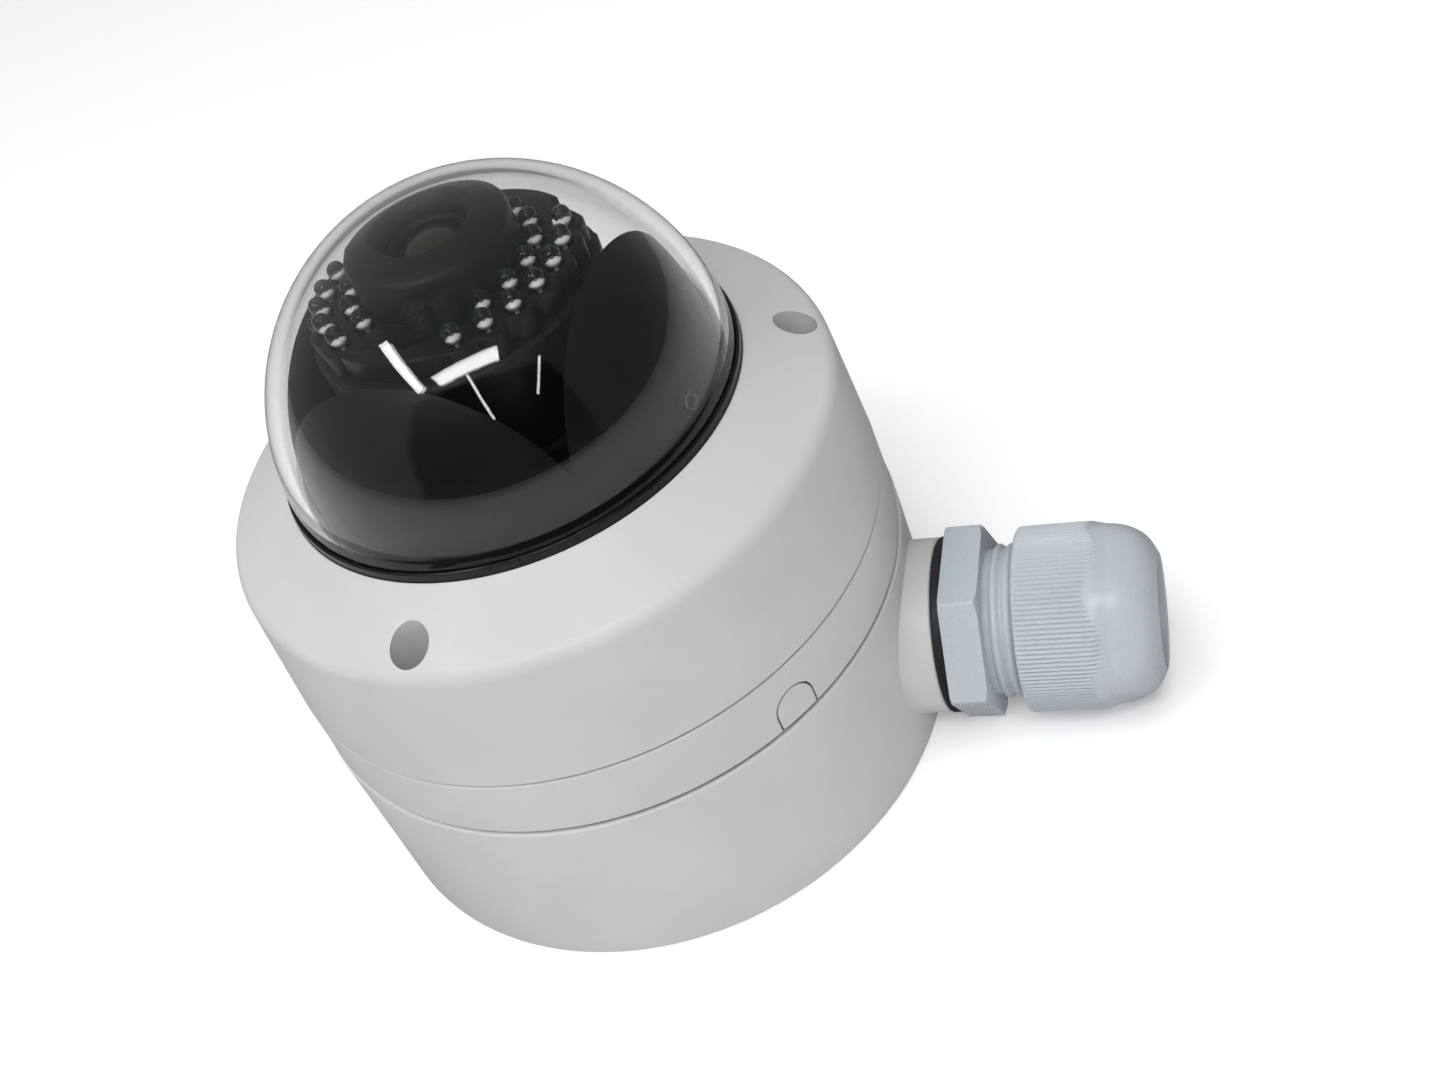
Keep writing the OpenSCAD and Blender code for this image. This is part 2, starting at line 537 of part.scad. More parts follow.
module bubble_retainer() {
    color([0.15, 0.15, 0.16]) cam() difference() {
        union() {
            tube(45.9, 37.8, seat_z - 4.6, seat_z - 2.8);
            for (a = cover_screw_az) at(a + 60, 47.8) {
                translate([0, 0, seat_z - 4.6]) cylinder(r = 2.3, h = 1.8);
                translate([-4, -2.3, seat_z - 4.6]) cube([4, 4.6, 1.8]);
            }
        }
        post_clearance(seat_z - 6, seat_z);
        for (a = cover_screw_az) at(a + 60, 47.8) translate([0, 0, seat_z - 8]) cylinder(r = 1.3, h = 8);
    }
}
module retainer_screws() {
    color([0.75, 0.76, 0.77]) cam() for (a = cover_screw_az) at(a + 60, 47.8)
        translate([0, 0, 2 * (seat_z - 4.6)]) mirror([0, 0, 1]) screw(seat_z - 4.6, 2.2, 1.5, 1.15, 4.2);
}

junction_back();
junction_box();
box_gasket();
base_screws();
gland_washer();
gland_body();
gland_seal();
gland_cap();
camera_base();
notch_plug();
pigtail_grommet();
cover_gasket();
main_board();
board_screws();
board_connector();
card_socket();
memory_card();
reset_switch();
reset_button();
pan_base();
pan_base_screws();
friction_washer();
pan_lock_ring();
pan_ring();
tilt_brackets();
bracket_screws();
liner();
tilt_cradle();
pivot_screws();
head_shell();
head_clip();
sensor_board();
sensor_chip();
lens_holder();
lens_barrel();
lens_glass();
led_board();
leds();
led_plate();
light_sensor();
lens_hood();
cover();
cover_screws();
bubble();
bubble_gasket();
bubble_retainer();
retainer_screws();
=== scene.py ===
import bpy, bmesh, json, math
from mathutils import Vector, Matrix


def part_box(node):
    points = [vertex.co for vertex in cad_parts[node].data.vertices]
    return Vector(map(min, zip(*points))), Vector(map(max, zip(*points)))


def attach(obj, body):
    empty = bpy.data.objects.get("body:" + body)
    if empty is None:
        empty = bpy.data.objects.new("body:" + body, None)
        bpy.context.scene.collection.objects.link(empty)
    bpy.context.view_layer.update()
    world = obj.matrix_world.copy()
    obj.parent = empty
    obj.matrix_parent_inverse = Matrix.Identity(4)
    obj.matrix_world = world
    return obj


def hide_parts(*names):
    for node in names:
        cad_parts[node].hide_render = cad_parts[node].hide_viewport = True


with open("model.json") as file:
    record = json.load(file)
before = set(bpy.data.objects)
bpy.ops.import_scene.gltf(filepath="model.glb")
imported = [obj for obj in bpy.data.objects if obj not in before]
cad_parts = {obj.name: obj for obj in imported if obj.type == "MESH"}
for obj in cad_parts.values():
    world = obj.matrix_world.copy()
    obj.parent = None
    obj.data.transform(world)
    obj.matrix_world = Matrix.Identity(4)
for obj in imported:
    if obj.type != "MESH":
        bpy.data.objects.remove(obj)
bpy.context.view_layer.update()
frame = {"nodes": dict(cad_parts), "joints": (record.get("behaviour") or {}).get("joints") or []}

MM = 0.001
# Places read from the frame, in millimetres
base_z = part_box("box_gasket")[1].z * 1000          # underside of the camera base
dome_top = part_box("bubble")[1].z * 1000            # top of the clear dome
cap_lo, cap_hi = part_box("gland_cap")
gland_z = (cap_lo.z + cap_hi.z) * 500              # height of the gland axis
cap_x0, cap_x1 = cap_lo.x * 1000, cap_hi.x * 1000
cap_r = (cap_hi.z - cap_lo.z) * 500
washer_x0, washer_x1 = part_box("gland_washer")[0].x * 1000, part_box("gland_washer")[1].x * 1000
DOME_R = 39.35
piv_z = dome_top - DOME_R                          # centre of the dome, and the tilt axis
tilt_axis = [Vector(j["axis"]) for j in frame["joints"] if j["name"] == "tilt"]
AIM = math.degrees(math.atan2(-tilt_axis[0].y, -tilt_axis[0].x)) if tilt_axis else -8.0
COVER_AZ = [-96.1, 20.2, 142.0]
BASE_AZ = [60, 180, 300]
NOTCH_AZ = -38.7


# ------------------------------------------------------------------ meshes
def obj_from(name, verts, faces, mat=None, smooth=True, angle=32):
    """A mesh object from points in millimetres."""
    me = bpy.data.meshes.new(name)
    me.from_pydata([(v[0] * MM, v[1] * MM, v[2] * MM) for v in verts], [], faces)
    me.validate()
    bm = bmesh.new()
    bm.from_mesh(me)
    bmesh.ops.recalc_face_normals(bm, faces=bm.faces)
    bm.to_mesh(me)
    bm.free()
    o = bpy.data.objects.new(name, me)
    bpy.context.scene.collection.objects.link(o)
    if mat:
        me.materials.append(mat)
    if smooth:
        shade(o, angle)
    return o


def shade(o, angle=32):
    me = o.data
    bm = bmesh.new()
    bm.from_mesh(me)
    bmesh.ops.remove_doubles(bm, verts=bm.verts, dist=1e-7)
    bmesh.ops.recalc_face_normals(bm, faces=bm.faces)
    bm.to_mesh(me)
    bm.free()
    me.polygons.foreach_set("use_smooth", [True] * len(me.polygons))
    me.set_sharp_from_angle(angle=math.radians(angle))
    me.update()


def round_poly(pts, radii, n=5, closed=True):
    """The points of a polygon with its corners rounded; radii is one number or one per corner."""
    out = []
    N = len(pts)
    if not isinstance(radii, (list, tuple)):
        radii = [radii] * N
    for i, p in enumerate(pts):
        r = radii[i]
        if r <= 0 or (not closed and i in (0, N - 1)):
            out.append(tuple(p))
            continue
        a, b, c = Vector(pts[i - 1]), Vector(p), Vector(pts[(i + 1) % N])
        u, w = (a - b), (c - b)
        lu, lw = u.length, w.length
        if lu < 1e-6 or lw < 1e-6:
            out.append(tuple(p))
            continue
        u.normalize(); w.normalize()
        d = max(-1.0, min(1.0, u.dot(w)))
        half = math.acos(d) / 2
        if half > math.radians(88.5):
            out.append(tuple(p))
            continue
        t = r / math.tan(half)
        lim = 0.49 * min(lu, lw)
        if t > lim:
            t = lim
            r = t * math.tan(half)
        ctr = b + (u + w).normalized() * (r / math.sin(half))
        s, e = b + u * t, b + w * t
        a0 = math.atan2(s.y - ctr.y, s.x - ctr.x)
        a1 = math.atan2(e.y - ctr.y, e.x - ctr.x)
        while a1 - a0 > math.pi: a1 -= 2 * math.pi
        while a1 - a0 < -math.pi: a1 += 2 * math.pi
        for k in range(n + 1):
            q = a0 + (a1 - a0) * k / n
            out.append((ctr.x + r * math.cos(q), ctr.y + r * math.sin(q)))
    return out


def arc(cx, cy, r, a0, a1, n):
    return [(cx + r * math.cos(math.radians(a0 + (a1 - a0) * i / n)),
             cy + r * math.sin(math.radians(a0 + (a1 - a0) * i / n))) for i in range(n + 1)]


def lathe(name, prof, n=256, closed=True, mat=None, axis="Z", origin=(0, 0, 0), turn=0.0, warp=None, angle=32, smooth=True):
    """Turns a profile of (radius, height) points. warp(r, h, angle, i) gives another radius and height."""
    verts, faces, ring = [], [], []
    for i, (r, h) in enumerate(prof):
        if r < 1e-9:
            ring.append([len(verts)])
            verts.append((0, 0, h))
            continue
        row = []
        for k in range(n):
            a = 2 * math.pi * k / n + math.radians(turn)
            rr, hh = warp(r, h, a, i) if warp else (r, h)
            row.append(len(verts))
            verts.append((rr * math.cos(a), rr * math.sin(a), hh))
        ring.append(row)
    m = len(prof)
    for i in range(m if closed else m - 1):
        A, B = ring[i], ring[(i + 1) % m]
        if len(A) == 1 and len(B) == 1:
            continue
        for k in range(n):
            k2 = (k + 1) % n
            if len(A) == 1:
                faces.append((A[0], B[k], B[k2]))
            elif len(B) == 1:
                faces.append((A[k], A[k2], B[0]))
            else:
                faces.append((A[k], A[k2], B[k2], B[k]))
    if axis == "X":
        verts = [(z, x, y) for x, y, z in verts]
    verts = [(x + origin[0], y + origin[1], z + origin[2]) for x, y, z in verts]
    return obj_from(name, verts, faces, mat, smooth, angle)


def rot_z(p, deg):
    a = math.radians(deg)
    return (p[0] * math.cos(a) - p[1] * math.sin(a), p[0] * math.sin(a) + p[1] * math.cos(a), p[2])


def aim(o, deg=None):
    """Turns a piece that was made along the head's own axes to the head's stored direction."""
    o.data.transform(Matrix.Rotation(math.radians(AIM if deg is None else deg), 4, "Z"))
    return o


def place(o, m):
    o.data.transform(m)
    return o


def block(name, lo, hi, turn=0.0, r=0.0):
    """A block with rounded upright corners, for cutting or as a small part."""
    x0, y0, z0 = lo
    x1, y1, z1 = hi
    pts = [(x0, y0), (x1, y0), (x1, y1), (x0, y1)]
    if r > 0:
        pts = round_poly(pts, r, 6)
    n = len(pts)
    v = [(x, y, z0) for x, y in pts] + [(x, y, z1) for x, y in pts]
    f = [tuple(range(n - 1, -1, -1)), tuple(range(n, 2 * n))]
    f += [(i, (i + 1) % n, n + (i + 1) % n, n + i) for i in range(n)]
    v = [rot_z(p, turn) for p in v]
    return obj_from(name, v, f, None, False)


def pin(name, x, y, z0, z1, r, n=64, flare=0.0, flare_h=0.0):
    """An upright round bar for cutting or adding, with an optional flared top."""
    prof = [(0, z0), (r, z0)]
    if flare > 0:
        prof += [(r, z1 - flare_h), (r + flare, z1), (r + flare, z1 + 5), (0, z1 + 5)]
    else:
        prof += [(r, z1), (0, z1)]
    return lathe(name, prof, n, False, None, "Z", (x, y, 0), smooth=False)


def polar(az, r):
    a = math.radians(az)
    return r * math.cos(a), r * math.sin(a)


def apply_bool(o, cutter, op="DIFFERENCE", keep=False):
    m = o.modifiers.new("b", "BOOLEAN")
    m.operation, m.object, m.solver = op, cutter, "EXACT"
    dg = bpy.context.evaluated_depsgraph_get()
    dg.update()
    me = bpy.data.meshes.new_from_object(o.evaluated_get(dg), depsgraph=dg)
    mats = [x for x in o.data.materials]
    o.modifiers.clear()
    old = o.data
    o.data = me
    me.materials.clear()
    for x in mats:
        me.materials.append(x)
    bpy.data.meshes.remove(old)
    if not keep:
        cm = cutter.data
        bpy.data.objects.remove(cutter)
        bpy.data.meshes.remove(cm)
    return o


def join(name, objs, mat=None):
    """One object from several, with their points and faces as they are."""
    verts, faces = [], []
    for o in objs:
        base = len(verts)
        verts += [tuple(c * 1000 for c in v.co) for v in o.data.vertices]
        faces += [tuple(base + i for i in p.vertices) for p in o.data.polygons]
    for o in objs:
        me = o.data
        bpy.data.objects.remove(o)
        bpy.data.meshes.remove(me)
    return obj_from(name, verts, faces, mat, False)


def put(o, body, slot, *nodes):
    o.data.name = o.name
    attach(o, body)
    if nodes:
        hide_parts(*nodes)
    return o


# ------------------------------------------------------------------ materials
class Mat:
    """A small builder for node materials."""

    def __init__(s, name):
        s.m = bpy.data.materials.new(name)
        s.m.use_nodes = True
        s.nt = s.m.node_tree
        s.nt.nodes.clear()
        s.out = s.nt.nodes.new("ShaderNodeOutputMaterial")
        s.tc = s.nt.nodes.new("ShaderNodeTexCoord")
        s.b = s.nt.nodes.new("ShaderNodeBsdfPrincipled")
        s.link(s.b.outputs[0], s.out.inputs["Surface"])

    def link(s, a, b):
        s.nt.links.new(a, b)

    def noise(s, scale, detail=2.0, rough=0.5, stretch=None, dist=0.0):
        n = s.nt.nodes.new("ShaderNodeTexNoise")
        n.inputs["Scale"].default_value = scale
        n.inputs["Detail"].default_value = detail
        n.inputs["Roughness"].default_value = rough
        n.inputs["Distortion"].default_value = dist
        if stretch:
            mp = s.nt.nodes.new("ShaderNodeMapping")
            mp.inputs["Scale"].default_value = stretch
            s.link(s.tc.outputs["Object"], mp.inputs["Vector"])
            s.link(mp.outputs[0], n.inputs["Vector"])
        else:
            s.link(s.tc.outputs["Object"], n.inputs["Vector"])
        return n.outputs["Fac"]

    def voronoi(s, scale, rand=1.0):
        n = s.nt.nodes.new("ShaderNodeTexVoronoi")
        n.inputs["Scale"].default_value = scale
        n.inputs["Randomness"].default_value = rand
        s.link(s.tc.outputs["Object"], n.inputs["Vector"])
        return n.outputs["Distance"]

    def ramp(s, fac, lo, hi, a=0.0, b=1.0):
        n = s.nt.nodes.new("ShaderNodeMapRange")
        n.interpolation_type = "SMOOTHSTEP"
        n.inputs["From Min"].default_value = lo
        n.inputs["From Max"].default_value = hi
        n.inputs["To Min"].default_value = a
        n.inputs["To Max"].default_value = b
        s.link(fac, n.inputs["Value"])
        return n.outputs["Result"]

    def math(s, op, a, b=None):
        n = s.nt.nodes.new("ShaderNodeMath")
        n.operation = op
        for i, v in enumerate([a, b]):
            if v is None:
                continue
            if isinstance(v, (int, float)):
                n.inputs[i].default_value = v
            else:
                s.link(v, n.inputs[i])
        return n.outputs[0]

    def mix(s, fac, a, b):
        n = s.nt.nodes.new("ShaderNodeMix")
        n.data_type = "RGBA"
        for sock, v in ((n.inputs[0], fac), (n.inputs[6], a), (n.inputs[7], b)):
            if isinstance(v, (int, float)):
                sock.default_value = v
            elif isinstance(v, (tuple, list)):
                sock.default_value = (*v, 1.0) if len(v) == 3 else v
            else:
                s.link(v, sock)
        return n.outputs[2]

    def pointy(s):
        n = s.nt.nodes.new("ShaderNodeNewGeometry")
        return n.outputs["Pointiness"]

    def bump(s, height, dist, strength=1.0, prev=None):
        n = s.nt.nodes.new("ShaderNodeBump")
        n.inputs["Distance"].default_value = dist
        n.inputs["Strength"].default_value = strength
        s.link(height, n.inputs["Height"])
        if prev is not None:
            s.link(prev, n.inputs["Normal"])
        return n.outputs["Normal"]

    def set(s, **kw):
        for k, v in kw.items():
            k = k.replace("_", " ")
            sock = s.b.inputs[k]
            if isinstance(v, (int, float)):
                sock.default_value = v
            elif isinstance(v, (tuple, list)):
                sock.default_value = (*v, 1.0) if len(v) == 3 and sock.type == "RGBA" else v
            else:
                s.link(v, sock)
        return s


def tint(c, k):
    return tuple(max(0.0, x * k) for x in c)


def powder(name, col, rough=0.42):
    """Satin powder coat on die-cast metal: fine orange peel, tiny bright and dull grains, faint handling marks."""
    m = Mat(name)
    big = m.noise(38, 3.0)
    fine = m.noise(3400, 2.0, 0.6)
    peel = m.noise(900, 2.0, 0.5)
    col1 = m.mix(m.ramp(big, 0.35, 0.68), tint(col, 0.965), tint(col, 1.02))
    col2 = m.mix(m.ramp(fine, 0.60, 0.74, 0.0, 0.35), col1, tint(col, 0.80))
    dust = m.math("MULTIPLY", m.ramp(m.voronoi(420), 0.10, 0.03), m.ramp(m.noise(160, 1.0), 0.58, 0.70))
    col3 = m.mix(m.math("MULTIPLY", dust, 0.22), col2, (0.30, 0.29, 0.27))
    edge = m.math("MULTIPLY", m.ramp(m.pointy(), 0.53, 0.60), m.ramp(m.noise(260, 3.0), 0.42, 0.62))
    col4 = m.mix(m.math("MULTIPLY", edge, 0.16), col3, (0.62, 0.62, 0.61))
    scuff = m.ramp(m.noise(60, 4.0, 0.7, (1, 1, 7)), 0.60, 0.72, 0.0, 0.10)
    r = m.math("ADD", m.ramp(fine, 0.30, 0.70, rough - 0.10, rough + 0.09), scuff)
    n1 = m.bump(peel, 0.00003, 0.35)
    n2 = m.bump(fine, 0.000018, 0.55, n1)
    m.set(Base_Color=col4, Roughness=r, Normal=n2, Specular_IOR_Level=0.5, IOR=1.5)
    return m.m


def plastic(name, col, rough=0.42, grain=2600, depth=0.000012, strength=0.5, flow=0.04, ior=1.5, worn=0.12, stretch=None, sss=0.0):
    """Moulded plastic: fine tool texture, slow change of tone along the flow, edges rubbed a little shinier."""
    m = Mat(name)
    big = m.noise(26, 2.0, 0.5, (1, 1, 0.4))
    fine = m.noise(grain, 2.0, 0.55, stretch)
    col1 = m.mix(m.ramp(big, 0.32, 0.70), tint(col, 1 - flow), tint(col, 1 + flow))
    col2 = m.mix(m.ramp(fine, 0.56, 0.72, 0.0, 0.25), col1, tint(col, 0.82))
    edge = m.math("MULTIPLY", m.ramp(m.pointy(), 0.53, 0.62), m.ramp(m.noise(300, 3.0), 0.40, 0.62))
    col3 = m.mix(m.math("MULTIPLY", edge, worn), col2, tint(col, 1.6))
    smudge = m.ramp(m.noise(75, 3.0, 0.65), 0.55, 0.75, 0.0, 0.07)
    r = m.math("SUBTRACT", m.math("ADD", m.ramp(fine, 0.3, 0.7, rough - 0.06, rough + 0.07), smudge), m.math("MULTIPLY", edge, 0.08))
    m.set(Base_Color=col3, Roughness=r, Normal=m.bump(fine, depth, strength), IOR=ior)
    if sss:
        m.set(Subsurface_Weight=sss, Subsurface_Radius=(0.001, 0.0011, 0.0012), Subsurface_Scale=0.6)
    return m.m


def metal(name, col, rough=0.26, stretch=(1, 1, 18)):
    """Plated steel: fine turning marks, dull spots, and painted shade that darkens the low, hollow places."""
    m = Mat(name)
    lines = m.noise(900, 3.0, 0.6, stretch)
    blot = m.noise(240, 3.0, 0.6)
    c = m.mix(m.ramp(blot, 0.45, 0.72, 0.0, 0.45), col, tint(col, 0.72))
    # painted shade: concave, hollow places are darkened in the colour, as if shade fell there
    low = m.ramp(m.pointy(), 0.50, 0.44, 0.0, 0.5)
    c2 = m.mix(low, c, tint(col, 0.35))
    r = m.math("ADD", m.ramp(lines, 0.3, 0.7, rough - 0.07, rough + 0.10), m.ramp(blot, 0.5, 0.8, 0.0, 0.12))
    m.set(Base_Color=c2, Roughness=r, Metallic=1.0, Normal=m.bump(lines, 0.000006, 0.5))
    return m.m


def board(name, col):
    """Solder mask over copper: traces show as a slightly lighter, raised maze; a fine weave under it."""
    m = Mat(name)
    n = m.nt.nodes.new("ShaderNodeTexBrick")
    n.inputs["Scale"].default_value = 260
    n.inputs["Mortar Size"].default_value = 0.035
    n.inputs["Color1"].default_value = (0, 0, 0, 1)
    n.inputs["Color2"].default_value = (0.15, 0.15, 0.15, 1)
    n.inputs["Mortar"].default_value = (1, 1, 1, 1)
    m.link(m.tc.outputs["Object"], n.inputs["Vector"])
    bw = m.nt.nodes.new("ShaderNodeRGBToBW")
    m.link(n.outputs["Color"], bw.inputs[0])
    areas = m.ramp(m.noise(120, 2.0), 0.44, 0.52)
    tr = m.math("MULTIPLY", bw.outputs[0], areas)
    weave = m.noise(1500, 2.0)
    c = m.mix(m.ramp(weave, 0.4, 0.7), tint(col, 0.85), tint(col, 1.1))
    c2 = m.mix(m.math("MULTIPLY", tr, 0.8), c, tint(col, 1.9))
    pads = m.ramp(m.voronoi(330, 0.35), 0.16, 0.12)
    c3 = m.mix(m.math("MULTIPLY", pads, m.ramp(m.noise(90, 1.0), 0.52, 0.56)), c2, (0.52, 0.46, 0.34))
    m.set(Base_Color=c3, Roughness=m.ramp(weave, 0.3, 0.7, 0.28, 0.42), Normal=m.bump(tr, 0.00003, 0.6), IOR=1.5)
    return m.m


def clear(name, col, ior, shadow=(0.93, 0.94, 0.94), marks=None, haze=0.012):
    """Clear moulding. Shadow and diffuse rays pass straight through, so that what is inside is lit."""
    m = Mat(name)
    smear = m.noise(34, 4.0, 0.6, (1, 1, 2.4))
    speck = m.ramp(m.voronoi(260), 0.055, 0.02)
    rare = m.ramp(m.noise(60, 1.0), 0.60, 0.68)
    r = m.math("ADD", m.ramp(smear, 0.56, 0.78, 0.0, haze), m.math("MULTIPLY", m.math("MULTIPLY", speck, rare), 0.25))
    n = m.bump(m.noise(11, 1.0), 0.00004, 0.25)
    if marks is not None:
        # a faint round witness mark left by the mould
        d = m.nt.nodes.new("ShaderNodeVectorMath")
        d.operation = "DISTANCE"
        d.inputs[1].default_value = [c * MM for c in marks[0]]
        m.link(m.tc.outputs["Object"], d.inputs[0])
        a = m.ramp(d.outputs["Value"], (marks[1] - 0.35) * MM, marks[1] * MM)
        b = m.ramp(d.outputs["Value"], (marks[1] + 0.10) * MM, (marks[1] + 0.45) * MM, 1.0, 0.0)
        n = m.bump(m.math("MULTIPLY", a, b), 0.00008, 1.0, n)
    m.set(Base_Color=col, Roughness=r, Normal=n, IOR=ior, Transmission_Weight=1.0)
    lp = m.nt.nodes.new("ShaderNodeLightPath")
    tr = m.nt.nodes.new("ShaderNodeBsdfTransparent")
    tr.inputs["Color"].default_value = (*shadow, 1.0)
    mx = m.nt.nodes.new("ShaderNodeMixShader")
    m.link(m.math("MAXIMUM", lp.outputs["Is Shadow Ray"], lp.outputs["Is Diffuse Ray"]), mx.inputs[0])
    m.link(m.b.outputs[0], mx.inputs[1])
    m.link(tr.outputs[0], mx.inputs[2])
    m.link(mx.outputs[0], m.out.inputs["Surface"])
    return m.m


WHITE = (0.592, 0.606, 0.594)
white = powder("powder_white", WHITE)
# painted shade: a darker copy of the white for inside faces, standing in for the shade there; it is also a little
# rougher
white_in = powder("powder_white_inside_painted_shade", tint(WHITE, 0.93), 0.5)
gland = plastic("gland_nylon", (0.490, 0.525, 0.560), 0.32, 1900, 0.000012, 0.45, 0.03, worn=0.05, sss=0.12)
rubber = plastic("rubber_black", (0.0045, 0.0045, 0.005), 0.20, 1500, 0.000008, 0.35, 0.15, worn=0.5)
rubber_matt = plastic("rubber_black_matt", (0.014, 0.014, 0.015), 0.55, 1300, 0.00002, 0.5, 0.15, worn=0.5)
rubber_grey = plastic("rubber_grey", (0.115, 0.125, 0.13), 0.55, 1200, 0.00002, 0.5, 0.08)
seal_grey = plastic("seal_taupe", (0.115, 0.108, 0.10), 0.50, 1100, 0.00003, 0.6, 0.08)
liner_black = plastic("liner_black", (0.0036, 0.0040, 0.0045), 0.42, 2600, 0.000016, 0.35, 0.06, worn=0.6)
mech_black = plastic("mechanism_black", (0.0058, 0.0062, 0.0067), 0.46, 2300, 0.000016, 0.35, 0.08, worn=0.7)
hood_black = plastic("hood_black", (0.0070, 0.0080, 0.0090), 0.40, 3000, 0.00001, 0.35, 0.05, worn=0.5)
plate_black = plastic("plate_black", (0.0040, 0.0046, 0.0055), 0.34, 2800, 0.000008, 0.3, 0.05, worn=0.8)
for dark in (liner_black, mech_black, hood_black, plate_black):
    dark.node_tree.nodes["Principled BSDF"].inputs["Specular IOR Level"].default_value = 0.22
steel = metal("plated_steel", (0.62, 0.62, 0.61))
steel_dark = metal("blackened_steel", (0.20, 0.20, 0.20), 0.36)
silver = plastic("silver_cup", (0.95, 0.94, 0.90), 0.20, 5000, 0.000004, 0.5, 0.04)
silver.node_tree.nodes["Principled BSDF"].inputs["Metallic"].default_value = 0.35
pcb = board("pcb_green", (0.010, 0.075, 0.030))
cream = plastic("connector_cream", (0.68, 0.65, 0.54), 0.42, 1600, 0.00001, 0.4, 0.03)
card = plastic("card_black", (0.016, 0.016, 0.018), 0.34, 2600, 0.000006, 0.4, 0.04)
red = plastic("button_red", (0.42, 0.022, 0.018), 0.35, 1800, 0.000006, 0.4, 0.03)
nylon = plastic("nylon_washer", (0.66, 0.64, 0.58), 0.48, 1200, 0.00001, 0.4, 0.04, sss=0.1)
chip = plastic("chip_face", (0.020, 0.024, 0.040), 0.12, 3000, 0.000002, 0.3, 0.3)
die = plastic("die_face", (0.16, 0.12, 0.07), 0.22, 6000, 0.000002, 0.3, 0.2)
PIP_AZ, PIP_EL = -19.22, 9.86
pip = (DOME_R * math.cos(math.radians(PIP_EL)) * math.cos(math.radians(PIP_AZ)),
       DOME_R * math.cos(math.radians(PIP_EL)) * math.sin(math.radians(PIP_AZ)),
       piv_z + DOME_R * math.sin(math.radians(PIP_EL)))
dome_clear = clear("clear_dome", (0.90, 0.905, 0.90), 1.49, (0.88, 0.885, 0.885), marks=(pip, 1.15))
led_clear = clear("led_epoxy", (0.97, 0.98, 1.0), 1.53, (0.9, 0.92, 0.95), haze=0.02)


def lens_material():
    """Coated front element: dark glass over an amber and violet coating that changes towards the rim."""
    m = Mat("lens_coated")
    sep = m.nt.nodes.new("ShaderNodeVectorMath")
    sep.operation = "LENGTH"
    mp = m.nt.nodes.new("ShaderNodeMapping")
    mp.inputs["Scale"].default_value = (1, 1, 0)
    m.link(m.tc.outputs["Object"], mp.inputs["Vector"])
    m.link(mp.outputs[0], sep.inputs[0])
    d = m.ramp(sep.outputs["Value"], 0.0010, 0.0052)
    c = m.mix(d, (0.016, 0.010, 0.005), (0.006, 0.004, 0.005))
    ring = m.math("MULTIPLY", m.ramp(sep.outputs["Value"], 0.0030, 0.0032), m.ramp(sep.outputs["Value"], 0.0036, 0.0034))
    c2 = m.mix(m.math("MULTIPLY", ring, 0.5), c, (0.030, 0.022, 0.014))
    m.set(Base_Color=c2, Roughness=m.ramp(m.noise(400, 2.0), 0.55, 0.8, 0.03, 0.10), IOR=1.6, Coat_Weight=1.0, Coat_Roughness=0.02,
          Coat_IOR=1.4, Specular_Tint=(1.0, 0.72, 0.55, 1.0), Specular_IOR_Level=0.4)
    return m.m


lens_mat = lens_material()

# CAD nodes that stay, each with its own finish
FINISH = {
    "box_gasket": rubber_grey, "base_screws": steel, "pigtail_grommet": rubber_matt, "cover_gasket": rubber_matt, "main_board": pcb,
    "board_screws": steel, "board_connector": cream, "card_socket": steel, "memory_card": card, "reset_switch": mech_black,
    "reset_button": red, "pan_base": mech_black, "pan_base_screws": steel, "friction_washer": nylon, "pan_lock_ring": mech_black,
    "pan_ring": mech_black, "tilt_brackets": mech_black, "bracket_screws": steel, "tilt_cradle": mech_black, "pivot_screws": steel_dark,
    "head_clip": mech_black, "sensor_board": pcb, "sensor_chip": chip, "lens_holder": mech_black, "led_board": pcb,
    "bubble_retainer": mech_black, "retainer_screws": steel, "cover_screws": steel, "light_sensor": die,
}
for node, mt in FINISH.items():
    o = frame["nodes"][node]
    if len(o.material_slots) == 0:
        o.data.materials.append(mt)
    for sl in o.material_slots:
        sl.link = "OBJECT"
        sl.material = mt


# ------------------------------------------------------------------ junction box
def make_box():
    top = base_z - 0.6
    prof = round_poly([(13.0, 0.0), (56.8, 0.0), (56.2, top), (52.6, top), (52.6, 3.0), (13.0, 3.0)], [0.3, 0.7, 0.55, 0.4, 1.6, 0.3], 5)
    o = lathe("box_body", prof, 288, True, white, turn=100)
    boss = lathe("boss", round_poly([(0, 46.0), (15.7, 46.0), (15.7, washer_x0), (0, washer_x0)], [0, 0, 0.55, 0], 4, False), 160, False, None, "X", (0, 0, gland_z), smooth=False)
    inner = lathe("inner", [(0, 3.0), (52.55, 3.0), (52.55, 60), (0, 60)], 288, False, turn=100, smooth=False)
    apply_bool(boss, inner, "DIFFERENCE")
    apply_bool(o, boss, "UNION")
    posts = []
    for a in BASE_AZ:
        x, y = polar(a, 47.5)
        posts.append(pin("post", x, y, 2.5, top, 4.4, 48))
    for q in posts:
        apply_bool(o, q, "UNION")
    for a in BASE_AZ:
        apply_bool(o, block("rib", (48.6, -2.5, 2.6), (53.2, 2.5, top - 0.3), a), "UNION")
    apply_bool(o, lathe("bore", [(0, 40), (9.9, 40), (9.9, washer_x0 + 1), (0, washer_x0 + 1)], 96, False, None, "X", (0, 0, gland_z), smooth=False))
    cut = []
    for a in (45, 135, 225, 315):
        x, y = polar(a, 39.0)
        cut.append(pin("hole", x, y, -1, 5, 2.4, 48))
    for a in BASE_AZ:
        x, y = polar(a, 47.5)
        cut.append(pin("hole", x, y, top - 13.4, top + 2, 1.65, 32))
    apply_bool(o, join("holes", cut))
    shade(o, 30)
    put(o, "housing", "housing_white", "junction_box", "junction_back")


